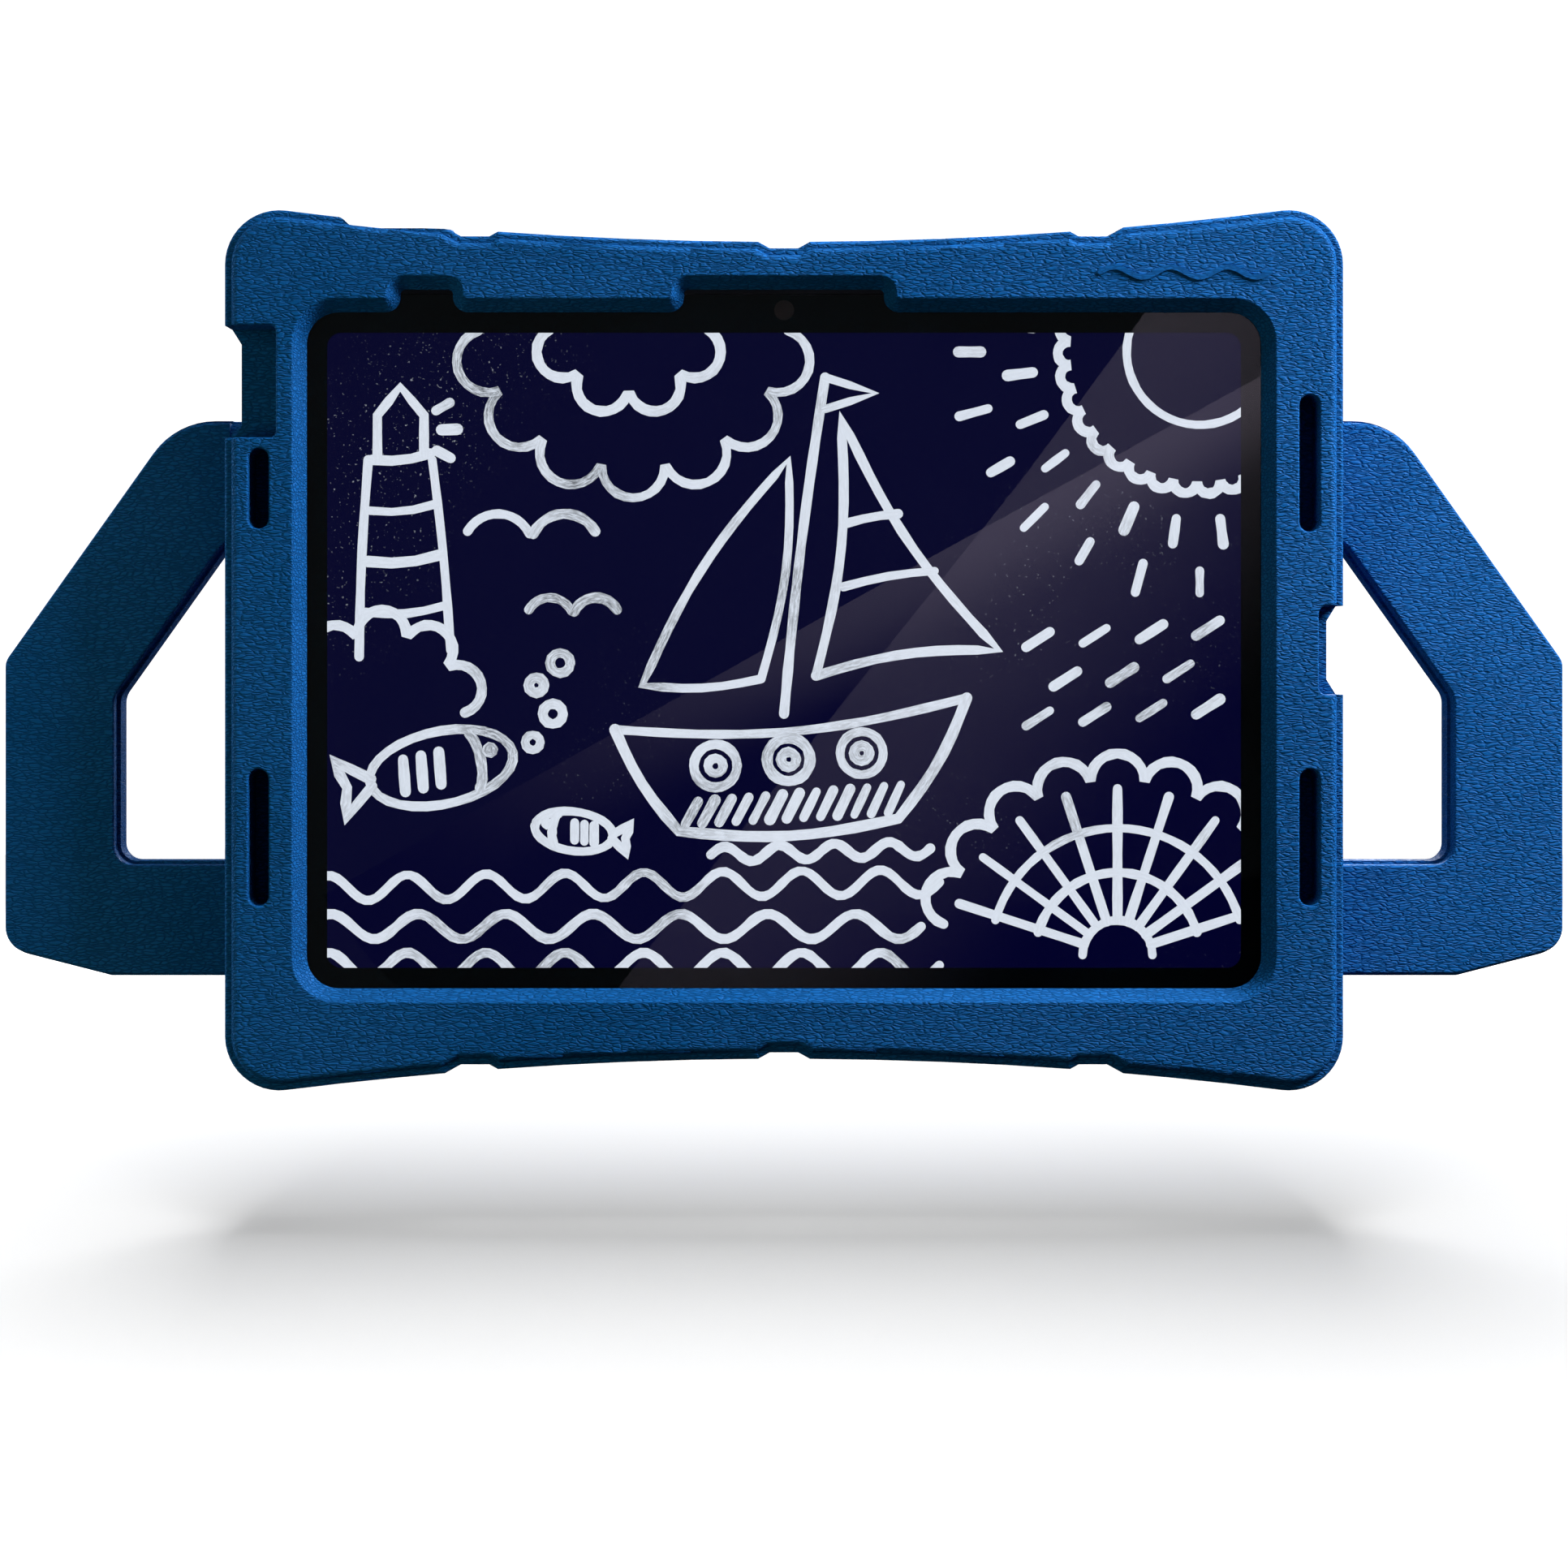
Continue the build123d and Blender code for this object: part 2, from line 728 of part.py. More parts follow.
with BuildPart() as handle_back_body:
    with BuildSketch(at_depth(handle_back_y)):
        add(ring_face(0))
    extrude(amount=handle_back_y - cover_back_y)
    fillet(handle_back_body.faces().sort_by(Axis.Y)[-1].edges(), radius=body_edge_r)
    add(top_round_waste.part, mode=Mode.SUBTRACT)
    with BuildSketch(at_depth(handle_back_y)):
        add(hinge_slots_face())
    extrude(amount=handle_t, mode=Mode.SUBTRACT)
    with BuildSketch(at_depth(cover_back_y)):
        add(core_face(core_fit))
    extrude(amount=-core_t, mode=Mode.SUBTRACT)
handle_back_body.part.label = "handle_back_body"
export_step(handle_back_body.part, "parts/handle_back_body.step")


with BuildPart() as handle_core:
    with BuildSketch(at_depth(cover_back_y + core_t)):
        add(core_face(0))
        add(hinge_slots_face(), mode=Mode.SUBTRACT)
        with Locations((-hinge_x, axis_z - core_web / 2), (hinge_x, axis_z - core_web / 2)):
            Rectangle(knuckle_l, core_web)
    extrude(amount=core_t)
    for x in (-hinge_x, hinge_x):
        with BuildSketch(across(x - knuckle_l / 2)):
            with Locations((axis_y, axis_z)):
                Circle(knuckle_r)
        extrude(amount=knuckle_l)
    for x in (-hinge_x, hinge_x):
        with BuildSketch(across(x - knuckle_l / 2)):
            with Locations((axis_y, axis_z)):
                Circle(bush_r)
        extrude(amount=knuckle_l, mode=Mode.SUBTRACT)
handle_core.part.label = "handle_core"
export_step(handle_core.part, "parts/handle_core.step")


with BuildPart() as hinge_bushes:
    for x in (-hinge_x, hinge_x):
        with BuildSketch(across(x - knuckle_l / 2)):
            with Locations((axis_y, axis_z)):
                Circle(bush_r)
                Circle(pin_r + pin_clear, mode=Mode.SUBTRACT)
        extrude(amount=knuckle_l)
hinge_bushes.part.label = "hinge_bushes"
export_step(hinge_bushes.part, "parts/hinge_bushes.step")


# ---------------------------------------------------------------- the tablet in the case
def tablet_face(inset):
    """Outline of the tablet, drawn in by inset."""
    with BuildSketch() as outline:
        with Locations((0, mid_z)):
            RectangleRounded(tablet_w - 2 * inset, tablet_h - 2 * inset, tablet_corner_r - inset)
    return outline.sketch


def screen_face(inset):
    """Outline of the lit screen, drawn in by inset."""
    with BuildSketch() as outline:
        with Locations((0, mid_z)):
            RectangleRounded(screen_w - 2 * inset, screen_h - 2 * inset, screen_r - inset)
    return outline.sketch


with BuildPart() as tablet_housing:
    with BuildSketch(at_depth(tablet_back_y)):
        add(tablet_face(0))
    extrude(amount=tablet_t)
    fillet(tablet_housing.faces().sort_by(Axis.Y)[-1].edges(), radius=tablet_edge_r)
    with BuildSketch(at_depth(tablet_y)):
        add(tablet_face(skin_t))
    extrude(amount=-(tablet_t - skin_t), mode=Mode.SUBTRACT)
    with BuildSketch(at_depth(tablet_back_y)):
        with Locations((rear_camera_x, rear_camera_z)):
            Circle(rear_camera_r)
    extrude(amount=skin_t, mode=Mode.SUBTRACT)
    with BuildSketch(across(-tablet_half_w)):
        with Locations((tablet_mid_y, button_z)):
            SlotOverall(button_w + 2 * button_clear, button_t + 2 * button_clear, rotation=90)
    extrude(amount=skin_t, mode=Mode.SUBTRACT)
    with BuildSketch(level(tablet_top_z)):
        with Locations((pad_places[0], tablet_mid_y), (pad_places[1], tablet_mid_y)):
            SlotOverall(button_w + 2 * button_clear, button_t + 2 * button_clear)
    extrude(amount=-skin_t, mode=Mode.SUBTRACT)
    with BuildSketch(across(tablet_half_w)):
        with Locations((tablet_mid_y, mid_z)):
            SlotOverall(port_w + 2 * port_clear, port_t + 2 * port_clear, rotation=90)
    extrude(amount=-skin_t, mode=Mode.SUBTRACT)
tablet_housing.part.label = "tablet_housing"
export_step(tablet_housing.part, "parts/tablet_housing.step")


with BuildPart() as tablet_glass:
    with BuildSketch(at_depth(tablet_y + glass_t)):
        add(tablet_face(skin_t))
    extrude(amount=glass_t)
tablet_glass.part.label = "tablet_glass"
export_step(tablet_glass.part, "parts/tablet_glass.step")


with BuildPart() as tablet_border:
    with BuildSketch(at_depth(tablet_y + glass_t + border_t)):
        add(tablet_face(skin_t))
        add(screen_face(0), mode=Mode.SUBTRACT)
        with Locations((0, front_camera_z)):
            Circle(front_camera_r, mode=Mode.SUBTRACT)
    extrude(amount=border_t)
tablet_border.part.label = "tablet_border"
export_step(tablet_border.part, "parts/tablet_border.step")


with BuildPart() as tablet_display:
    with BuildSketch(at_depth(tablet_y + glass_t + panel_t)):
        add(screen_face(0))
    extrude(amount=panel_t)
tablet_display.part.label = "tablet_display"
export_step(tablet_display.part, "parts/tablet_display.step")


with BuildPart() as tablet_battery:
    with BuildSketch(at_depth(tablet_back_y - skin_t - battery_gap)):
        with Locations((-battery_x, mid_z), (battery_x, mid_z)):
            RectangleRounded(battery_w, battery_h, battery_r)
    extrude(amount=battery_t)
tablet_battery.part.label = "tablet_battery"
export_step(tablet_battery.part, "parts/tablet_battery.step")


with BuildPart() as tablet_front_camera:
    with BuildSketch(at_depth(tablet_y + glass_t + panel_t)):
        with Locations((0, front_camera_z)):
            Circle(front_camera_r)
    extrude(amount=panel_t)
tablet_front_camera.part.label = "tablet_front_camera"
export_step(tablet_front_camera.part, "parts/tablet_front_camera.step")


with BuildPart() as tablet_rear_camera:
    with BuildSketch(at_depth(tablet_back_y - skin_t)):
        with Locations((rear_camera_x, rear_camera_z)):
            Circle(rear_camera_r)
    extrude(amount=-(skin_t + rear_camera_rise))
    fillet(tablet_rear_camera.faces().sort_by(Axis.Y)[-1].edges(), radius=rear_camera_edge_r)
tablet_rear_camera.part.label = "tablet_rear_camera"
export_step(tablet_rear_camera.part, "parts/tablet_rear_camera.step")


def side_button(plane, centre, turn):
    """Flat rounded button that stands a little proud of the housing."""
    with BuildPart() as button:
        with BuildSketch(plane):
            with Locations(centre):
                SlotOverall(button_w, button_t, rotation=turn)
        extrude(amount=button_proud + button_root)
    return button.part


buttons = {
    "tablet_volume_down": side_button(level(tablet_top_z - button_root), (pad_places[0], tablet_mid_y), 0),
    "tablet_volume_up": side_button(level(tablet_top_z - button_root), (pad_places[1], tablet_mid_y), 0),
    "tablet_top_button": side_button(across(-tablet_half_w - button_proud), (tablet_mid_y, button_z), 90),
}
for button_name, button_part in buttons.items():
    button_part.label = button_name
    export_step(button_part, "parts/" + button_name + ".step")


with BuildPart() as tablet_port:
    with BuildSketch(across(tablet_half_w - port_deep)):
        with Locations((tablet_mid_y, mid_z)):
            SlotOverall(port_w + 2 * port_shell, port_t + 2 * port_shell, rotation=90)
    extrude(amount=port_deep)
    with BuildSketch(across(tablet_half_w - port_deep + port_back)):
        with Locations((tablet_mid_y, mid_z)):
            SlotOverall(port_w, port_t, rotation=90)
    extrude(amount=port_deep, mode=Mode.SUBTRACT)
tablet_port.part.label = "tablet_port"
export_step(tablet_port.part, "parts/tablet_port.step")
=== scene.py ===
import math
import random

import bmesh
import bpy
from bpy.props import FloatProperty, FloatVectorProperty, IntProperty, PointerProperty
from mathutils import Matrix, Vector


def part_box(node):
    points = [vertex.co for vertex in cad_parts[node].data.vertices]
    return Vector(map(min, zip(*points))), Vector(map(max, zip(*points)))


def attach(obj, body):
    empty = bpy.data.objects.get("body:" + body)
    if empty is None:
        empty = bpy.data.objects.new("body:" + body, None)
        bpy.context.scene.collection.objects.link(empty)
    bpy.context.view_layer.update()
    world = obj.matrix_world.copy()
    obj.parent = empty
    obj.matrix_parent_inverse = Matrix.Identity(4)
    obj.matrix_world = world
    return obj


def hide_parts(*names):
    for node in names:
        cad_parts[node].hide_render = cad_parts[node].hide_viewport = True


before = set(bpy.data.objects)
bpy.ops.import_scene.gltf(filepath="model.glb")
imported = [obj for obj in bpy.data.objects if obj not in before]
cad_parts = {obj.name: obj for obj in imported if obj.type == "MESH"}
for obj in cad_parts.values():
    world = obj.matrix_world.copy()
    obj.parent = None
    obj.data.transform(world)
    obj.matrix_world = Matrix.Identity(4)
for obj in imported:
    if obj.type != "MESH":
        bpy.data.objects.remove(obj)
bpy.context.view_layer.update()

bl_info = {
    "name": "Foam tablet case",
    "version": (1, 0, 0),
    "blender": (4, 5, 0),
    "location": "View3D > Sidebar > Tablet case",
    "description": "Finishes a foam tablet case with a ring handle round its packed frame",
    "category": "Object",
}

MM = 0.001
CASE_LOW, CASE_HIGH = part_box("rear_shell")
SCREEN_LOW, SCREEN_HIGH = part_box("tablet_display")
GLASS_LOW, GLASS_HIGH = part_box("tablet_glass")
SCREEN_WIDE = SCREEN_HIGH.x - SCREEN_LOW.x
SCREEN_TALL = SCREEN_HIGH.z - SCREEN_LOW.z
ASPECT = SCREEN_TALL / SCREEN_WIDE
STROKE_MAP = "stroke"
END_STEPS = 6


# ------------------------------------------------------------------ settings
class TabletCaseSettings(bpy.types.PropertyGroup):
    foam_colour: FloatVectorProperty(
        name="Foam colour", description="Colour of the moulded foam", subtype="COLOR", size=3,
        min=0.0, max=1.0, default=(0.0025, 0.088, 0.315))
    foam_rough: FloatProperty(
        name="Foam roughness", description="How matt the foam's skin is", subtype="FACTOR",
        min=0.0, max=1.0, default=0.5)
    grain_length: FloatProperty(
        name="Grain length", description="Length of one wrinkle of the moulded grain", subtype="DISTANCE",
        unit="LENGTH", default=2.4 * MM)
    grain_height: FloatProperty(
        name="Grain height", description="Height of one wrinkle of the moulded grain", subtype="DISTANCE",
        unit="LENGTH", default=0.76 * MM)
    grain_depth: FloatProperty(
        name="Grain depth", description="Depth of the creases between wrinkles", subtype="DISTANCE",
        unit="LENGTH", default=0.19 * MM)
    screen_colour: FloatVectorProperty(
        name="Screen colour", description="Ground colour of the picture on the screen", subtype="COLOR",
        size=3, min=0.0, max=1.0, default=(0.0006, 0.0005, 0.022))
    chalk_colour: FloatVectorProperty(
        name="Chalk colour", description="Colour of the drawn lines on the screen", subtype="COLOR", size=3,
        min=0.0, max=1.0, default=(0.78, 0.84, 0.93))
    chalk_width: FloatProperty(
        name="Chalk width", description="Width of a drawn line", subtype="DISTANCE", unit="LENGTH",
        default=2.4 * MM)
    drawing_seed: IntProperty(
        name="Drawing seed", description="Seed for the strokes' uneven widths and wear", default=7)
    camera_away: FloatProperty(
        name="Camera distance", description="Distance from the lens to the tablet's glass",
        subtype="DISTANCE", unit="LENGTH", default=650.0 * MM)
    floor_drop: FloatProperty(
        name="Floor drop", description="How far the studio floor lies below the case", subtype="DISTANCE",
        unit="LENGTH", default=35.0 * MM)


def settings():
    """The case's own settings on this scene."""
    return bpy.context.scene.tablet_case


# ------------------------------------------------------------------ node helpers
def node(tree, kind, at=(0, 0), **values):
    """Adds a node, sets its plain properties, and returns it."""
    made = tree.nodes.new(kind)
    made.location = at
    for name, value in values.items():
        setattr(made, name, value)
    return made


def wire(tree, output, target):
    """Joins an output socket to an input socket."""
    tree.links.new(output, target)


def sum_of(tree, a, b, operation="ADD", at=(0, 0), clamp=False):
    """A math node whose two inputs are sockets or numbers."""
    made = node(tree, "ShaderNodeMath", at, operation=operation, use_clamp=clamp)
    for slot_number, value in enumerate((a, b)):
        if isinstance(value, (int, float)):
            made.inputs[slot_number].default_value = value
        else:
            wire(tree, value, made.inputs[slot_number])
    return made.outputs[0]


def ramp(tree, value, low, high, at=(0, 0), out_low=0.0, out_high=1.0):
    """A smooth step from low to high."""
    made = node(tree, "ShaderNodeMapRange", at, interpolation_type="SMOOTHSTEP")
    wire(tree, value, made.inputs["Value"])
    for name, number in (("From Min", low), ("From Max", high), ("To Min", out_low), ("To Max", out_high)):
        made.inputs[name].default_value = number
    return made.outputs["Result"]


def put(made, values):
    """Sets input sockets, by name, to plain values."""
    for name, value in values.items():
        made.inputs[name].default_value = value


def noise(tree, vector, scale, detail=2.0, at=(0, 0)):
    """A noise texture on a vector; scale is a number or a socket."""
    made = node(tree, "ShaderNodeTexNoise", at)
    made.inputs["Detail"].default_value = detail
    wire(tree, vector, made.inputs["Vector"])
    if isinstance(scale, (int, float)):
        made.inputs["Scale"].default_value = scale
    else:
        wire(tree, scale, made.inputs["Scale"])
    return made


def mixed(tree, share, first, second, at=(0, 0)):
    """Mixes two colours, each a socket or a plain colour."""
    made = node(tree, "ShaderNodeMix", at, data_type="RGBA", blend_type="MIX")
    for name, value in (("Factor_Float", share), ("A_Color", first), ("B_Color", second)):
        target = next(s for s in made.inputs if s.identifier == name)
        if isinstance(value, bpy.types.NodeSocket):
            wire(tree, value, target)
        elif isinstance(value, (int, float)):
            target.default_value = value
        else:
            target.default_value = (*value[:3], 1.0)
    return next(s for s in made.outputs if s.identifier == "Result_Color")


def new_group(name, inputs, outputs):
    """An empty shader node group with named sockets, and its two end nodes."""
    tree = bpy.data.node_groups.new(name, "ShaderNodeTree")
    for label, kind, default in inputs:
        made = tree.interface.new_socket(name=label, in_out="INPUT", socket_type=kind)
        if default is not None:
            made.default_value = default
    for label, kind in outputs:
        tree.interface.new_socket(name=label, in_out="OUTPUT", socket_type=kind)
    return tree, node(tree, "NodeGroupInput", (-1400, 0)), node(tree, "NodeGroupOutput", (900, 0))


def moulded_grain():
    """Leather-like wrinkles of moulded foam: a crease mask and a height."""
    found = bpy.data.node_groups.get("Moulded grain")
    if found:
        return found
    tree, start, end = new_group(
        "Moulded grain",
        [("Length", "NodeSocketFloat", 0.002), ("Height", "NodeSocketFloat", 0.001),
         ("Wander", "NodeSocketFloat", 0.5)],
        [("Crease", "NodeSocketFloat"), ("Swell", "NodeSocketFloat"), ("Blotch", "NodeSocketFloat")])
    place = node(tree, "ShaderNodeTexCoord", (-1400, 300))
    size = node(tree, "ShaderNodeCombineXYZ", (-1200, -100))
    wire(tree, start.outputs["Length"], size.inputs["X"])
    wire(tree, start.outputs["Height"], size.inputs["Y"])
    wire(tree, start.outputs["Height"], size.inputs["Z"])
    cells = node(tree, "ShaderNodeVectorMath", (-1000, 200), operation="DIVIDE")
    wire(tree, place.outputs["Object"], cells.inputs[0])
    wire(tree, size.outputs[0], cells.inputs[1])
    # a slow drift bends the rows of wrinkles
    drift_scale, drift_reach = 0.45, 3.0
    drift = noise(tree, cells.outputs[0], drift_scale, at=(-800, 400))
    shift = node(tree, "ShaderNodeVectorMath", (-600, 400), operation="MULTIPLY_ADD")
    wire(tree, drift.outputs["Color"], shift.inputs[0])
    scale = node(tree, "ShaderNodeCombineXYZ", (-800, 100))
    for axis in "XYZ":
        wander = sum_of(tree, start.outputs["Wander"], drift_reach, "MULTIPLY", (-950, 0))
        wire(tree, wander, scale.inputs[axis])
    wire(tree, scale.outputs[0], shift.inputs[1])
    wire(tree, cells.outputs[0], shift.inputs[2])
    wrinkle = node(tree, "ShaderNodeTexVoronoi", (-300, 300), feature="DISTANCE_TO_EDGE")
    wrinkle.inputs["Scale"].default_value = 1.0
    wire(tree, shift.outputs[0], wrinkle.inputs["Vector"])
    fine_scale, fine_share, dust_scale, dust_share = 1.9, -0.35, 3.1, 0.35
    crease_width, blotch_scale = 0.24, 22.0
    fine = node(tree, "ShaderNodeTexVoronoi", (-300, 0), feature="SMOOTH_F1")
    fine.inputs["Scale"].default_value = fine_scale
    wire(tree, shift.outputs[0], fine.inputs["Vector"])
    dust = noise(tree, cells.outputs[0], dust_scale, 3.0, (-300, -300))
    crease = ramp(tree, wrinkle.outputs["Distance"], 0.0, crease_width, (0, 300), 1.0, 0.0)
    raised = sum_of(tree, 1.0, crease, "SUBTRACT", (150, 200))
    dimples = sum_of(tree, fine.outputs["Distance"], fine_share, "MULTIPLY", (150, 50))
    specks = sum_of(tree, dust.outputs["Fac"], dust_share, "MULTIPLY", (150, -200))
    swell = sum_of(tree, sum_of(tree, raised, dimples, "ADD", (300, 150)), specks, "ADD", (450, 100))
    wide = noise(tree, place.outputs["Object"], blotch_scale, 3.0, (-300, -600))
    wire(tree, crease, end.inputs["Crease"])
    wire(tree, swell, end.inputs["Swell"])
    wire(tree, wide.outputs["Fac"], end.inputs["Blotch"])
    return tree


def fine_texture():
    """Fine even texture of hard parts: a mask for tone and a height."""
    found = bpy.data.node_groups.get("Fine texture")
    if found:
        return found
    tree, start, end = new_group(
        "Fine texture",
        [("Scale", "NodeSocketFloat", 2500.0), ("Stretch", "NodeSocketVector", (1.0, 1.0, 1.0))],
        [("Tone", "NodeSocketFloat"), ("Height", "NodeSocketFloat")])
    place = node(tree, "ShaderNodeTexCoord", (-1400, 300))
    drawn = node(tree, "ShaderNodeVectorMath", (-1100, 200), operation="MULTIPLY")
    wire(tree, place.outputs["Object"], drawn.inputs[0])
    wire(tree, start.outputs["Stretch"], drawn.inputs[1])
    small = noise(tree, drawn.outputs[0], start.outputs["Scale"], 4.0, (-700, 200))
    large = noise(tree, place.outputs["Object"], 60.0, at=(-700, -200))
    tone = sum_of(tree, sum_of(tree, small.outputs["Fac"], 0.5, "MULTIPLY"),
                  sum_of(tree, large.outputs["Fac"], 0.5, "MULTIPLY"), "ADD", (100, 0))
    wire(tree, tone, end.inputs["Tone"])
    wire(tree, small.outputs["Fac"], end.inputs["Height"])
    return tree


# ------------------------------------------------------------------ materials
def new_material(name):
    """An empty node material with a Principled shader, and its tree."""
    material = bpy.data.materials.new(name)
    material.use_nodes = True
    tree = material.node_tree
    tree.nodes.clear()
    shader = node(tree, "ShaderNodeBsdfPrincipled", (600, 0))
    result = node(tree, "ShaderNodeOutputMaterial", (900, 0))
    wire(tree, shader.outputs[0], result.inputs["Surface"])
    return material, tree, shader


def foam_material(name, depth_scale=1.0):
    """Blue foam with moulded wrinkles, painted shade in its creases and faintly scuffed swells."""
    s = settings()
    material, tree, shader = new_material(name)
    grain = node(tree, "ShaderNodeGroup", (-600, 0), node_tree=moulded_grain())
    put(grain, {"Length": s.grain_length, "Height": s.grain_height, "Wander": 0.5})
    base = tuple(s.foam_colour)
    # the darker crease tone and its share set here are painted shade in the grain's creases
    scuffed, bloom, crease_shade_tone, crease_shade_share, matter, glossier = 1.18, 0.004, 0.42, 0.6, 0.18, 0.06
    pale = tuple(min(1.0, c * scuffed + bloom) for c in base)
    deep = tuple(c * crease_shade_tone for c in base)
    blotchy = mixed(tree, ramp(tree, grain.outputs["Blotch"], 0.3, 0.7, (-300, 200)), base, pale, (-100, 200))
    # the crease mask mixes in the darker copy of the foam colour: painted shade in the creases
    share = sum_of(tree, grain.outputs["Crease"], crease_shade_share, "MULTIPLY", (-200, 0), clamp=True)
    crease_shaded = mixed(tree, share, blotchy, deep, (150, 200))
    wire(tree, crease_shaded, shader.inputs["Base Color"])
    rough = ramp(tree, grain.outputs["Swell"], 0.2, 1.1, (0, -100), s.foam_rough + matter,
                 s.foam_rough - glossier)
    wire(tree, rough, shader.inputs["Roughness"])
    bump = node(tree, "ShaderNodeBump", (300, -300))
    put(bump, {"Strength": 1.0, "Distance": s.grain_depth * depth_scale})
    wire(tree, grain.outputs["Swell"], bump.inputs["Height"])
    wire(tree, bump.outputs["Normal"], shader.inputs["Normal"])
    shader.inputs["Specular IOR Level"].default_value = 0.05
    return material


def hard_material(name, colour, rough, metallic=0.0, scale=2500.0, stretch=(1, 1, 1), bump_mm=0.01,
                  spread=0.25, shine=0.5):
    """Moulded plastic or metal with a fine texture in tone, roughness and height."""
    material, tree, shader = new_material(name)
    texture = node(tree, "ShaderNodeGroup", (-600, 0), node_tree=fine_texture())
    put(texture, {"Scale": scale, "Stretch": stretch})
    dark = tuple(c * (1 - spread) for c in colour)
    light = tuple(min(1.0, c * (1 + spread)) for c in colour)
    tone = ramp(tree, texture.outputs["Tone"], 0.3, 0.7, (-300, 100))
    wire(tree, mixed(tree, tone, dark, light, (0, 200)), shader.inputs["Base Color"])
    wire(tree, ramp(tree, texture.outputs["Tone"], 0.3, 0.7, (0, -100), rough + 0.06, rough - 0.05),
         shader.inputs["Roughness"])
    bump = node(tree, "ShaderNodeBump", (300, -300))
    put(bump, {"Strength": 0.6, "Distance": bump_mm * MM})
    wire(tree, texture.outputs["Height"], bump.inputs["Height"])
    wire(tree, bump.outputs["Normal"], shader.inputs["Normal"])
    put(shader, {"Metallic": metallic, "Specular IOR Level": shine})
    return material


def glass_material():
    """Clear cover glass with a faint smear in its polish."""
    material, tree, shader = new_material("Cover glass")
    texture = node(tree, "ShaderNodeGroup", (-600, 0), node_tree=fine_texture())
    texture.inputs["Scale"].default_value = 35.0
    polished, smeared = 0.003, 0.007
    wire(tree, ramp(tree, texture.outputs["Tone"], 0.35, 0.7, (0, -100), polished, smeared),
         shader.inputs["Roughness"])
    put(shader, {"Base Color": (0.97, 0.98, 1.0, 1.0), "Transmission Weight": 1.0, "IOR": 1.45})
    return material


def screen_material():
    """The lit picture's ground: very dark blue with faint powdery specks."""
    s = settings()
    material, tree, shader = new_material("Screen ground")
    place = node(tree, "ShaderNodeTexCoord", (-1000, 0))
    speck_scale, patch_scale, dust_share = 1400.0, 9.0, 0.5
    specks = noise(tree, place.outputs["Object"], speck_scale, at=(-700, 0))
    clouds = noise(tree, place.outputs["Object"], patch_scale, at=(-700, -300))
    dusty = sum_of(tree, ramp(tree, specks.outputs["Fac"], 0.66, 0.76, (-450, 0)),
                   ramp(tree, clouds.outputs["Fac"], 0.52, 0.7, (-450, -300)), "MULTIPLY", (-200, 0))
    ground = tuple(s.screen_colour)
    lit = mixed(tree, sum_of(tree, dusty, dust_share, "MULTIPLY", (0, 0)), ground, s.chalk_colour, (150, 0))
    wire(tree, lit, shader.inputs["Emission Color"])
    put(shader, {"Emission Strength": 1.0, "Base Color": (0.002, 0.002, 0.004, 1.0), "Roughness": 0.3,
                 "Specular IOR Level": 0.0})
    return material


def chalk_material():
    """White drawn lines with streaks along each stroke, worn thin in places."""
    s = settings()
    material, tree, shader = new_material("Screen chalk")
    place = node(tree, "ShaderNodeTexCoord", (-1300, 0))
    stroke = node(tree, "ShaderNodeUVMap", (-1300, 300), uv_map=STROKE_MAP)
    drawn = node(tree, "ShaderNodeVectorMath", (-1100, 300), operation="MULTIPLY")
    wire(tree, stroke.outputs["UV"], drawn.inputs[0])
    # streaks are long along the stroke and thin across it
    drawn.inputs[1].default_value = (0.35, 5.0, 1.0)
    streaks = noise(tree, drawn.outputs[0], 1.0, 6.0, (-800, 200))
    streaks.inputs["Roughness"].default_value = 0.7
    patch_scale, least_dry, worn_tone = 28.0, 0.12, 0.16
    patches = noise(tree, place.outputs["Object"], patch_scale, 3.0, (-800, -300))
    dry = ramp(tree, patches.outputs["Fac"], 0.5, 0.7, (-500, -300), least_dry, 1.0)
    streaky = ramp(tree, streaks.outputs["Fac"], 0.36, 0.66, (-500, 200), 1.0, 0.0)
    worn = sum_of(tree, streaky, dry, "MULTIPLY", (-200, 0))
    grey = tuple(c * worn_tone for c in s.chalk_colour)
    lit = mixed(tree, worn, s.chalk_colour, grey, (100, 0))
    wire(tree, lit, shader.inputs["Emission Color"])
    put(shader, {"Emission Strength": 1.0, "Base Color": (0.02, 0.02, 0.02, 1.0), "Specular IOR Level": 0.0})
    return material


# ------------------------------------------------------------------ mesh helpers
def finish_mesh(name, mesh_maker, material, body, smooth=True):
    """Turns a bmesh into a piece at the origin that rides on a body."""
    mesh = bpy.data.meshes.new(name)
    mesh_maker.to_mesh(mesh)
    mesh_maker.free()
    piece = bpy.data.objects.new(name, mesh)
    bpy.context.scene.collection.objects.link(piece)
    mesh.materials.append(material)
    for face in mesh.polygons:
        face.use_smooth = smooth
    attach(piece, body)
    return piece


def dress(names, material):
    """Gives a material to every slot of the named CAD nodes."""
    for name in names:
        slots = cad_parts[name].material_slots
        for place in slots:
            place.link = "OBJECT"
            place.material = material
        if not len(slots):
            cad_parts[name].data.materials.append(material)


# ------------------------------------------------------------------ the screen's drawing
def on_screen(u, v):
    """A point of the drawing on the display's face: u and v run from 0 to 1 over the screen."""
    return Vector((SCREEN_LOW.x + u * SCREEN_WIDE, SCREEN_LOW.y, SCREEN_LOW.z + v * SCREEN_TALL))


def stroke_face(shape, corners):
    """A face of a stroke, from its corners' vertices and their places along and across the stroke."""
    face = shape.faces.new([vertex for vertex, along, across in corners])
    layer = shape.loops.layers.uv[STROKE_MAP]
    for loop, (vertex, along, across) in zip(face.loops, corners):
        loop[layer].uv = (along / MM, across)


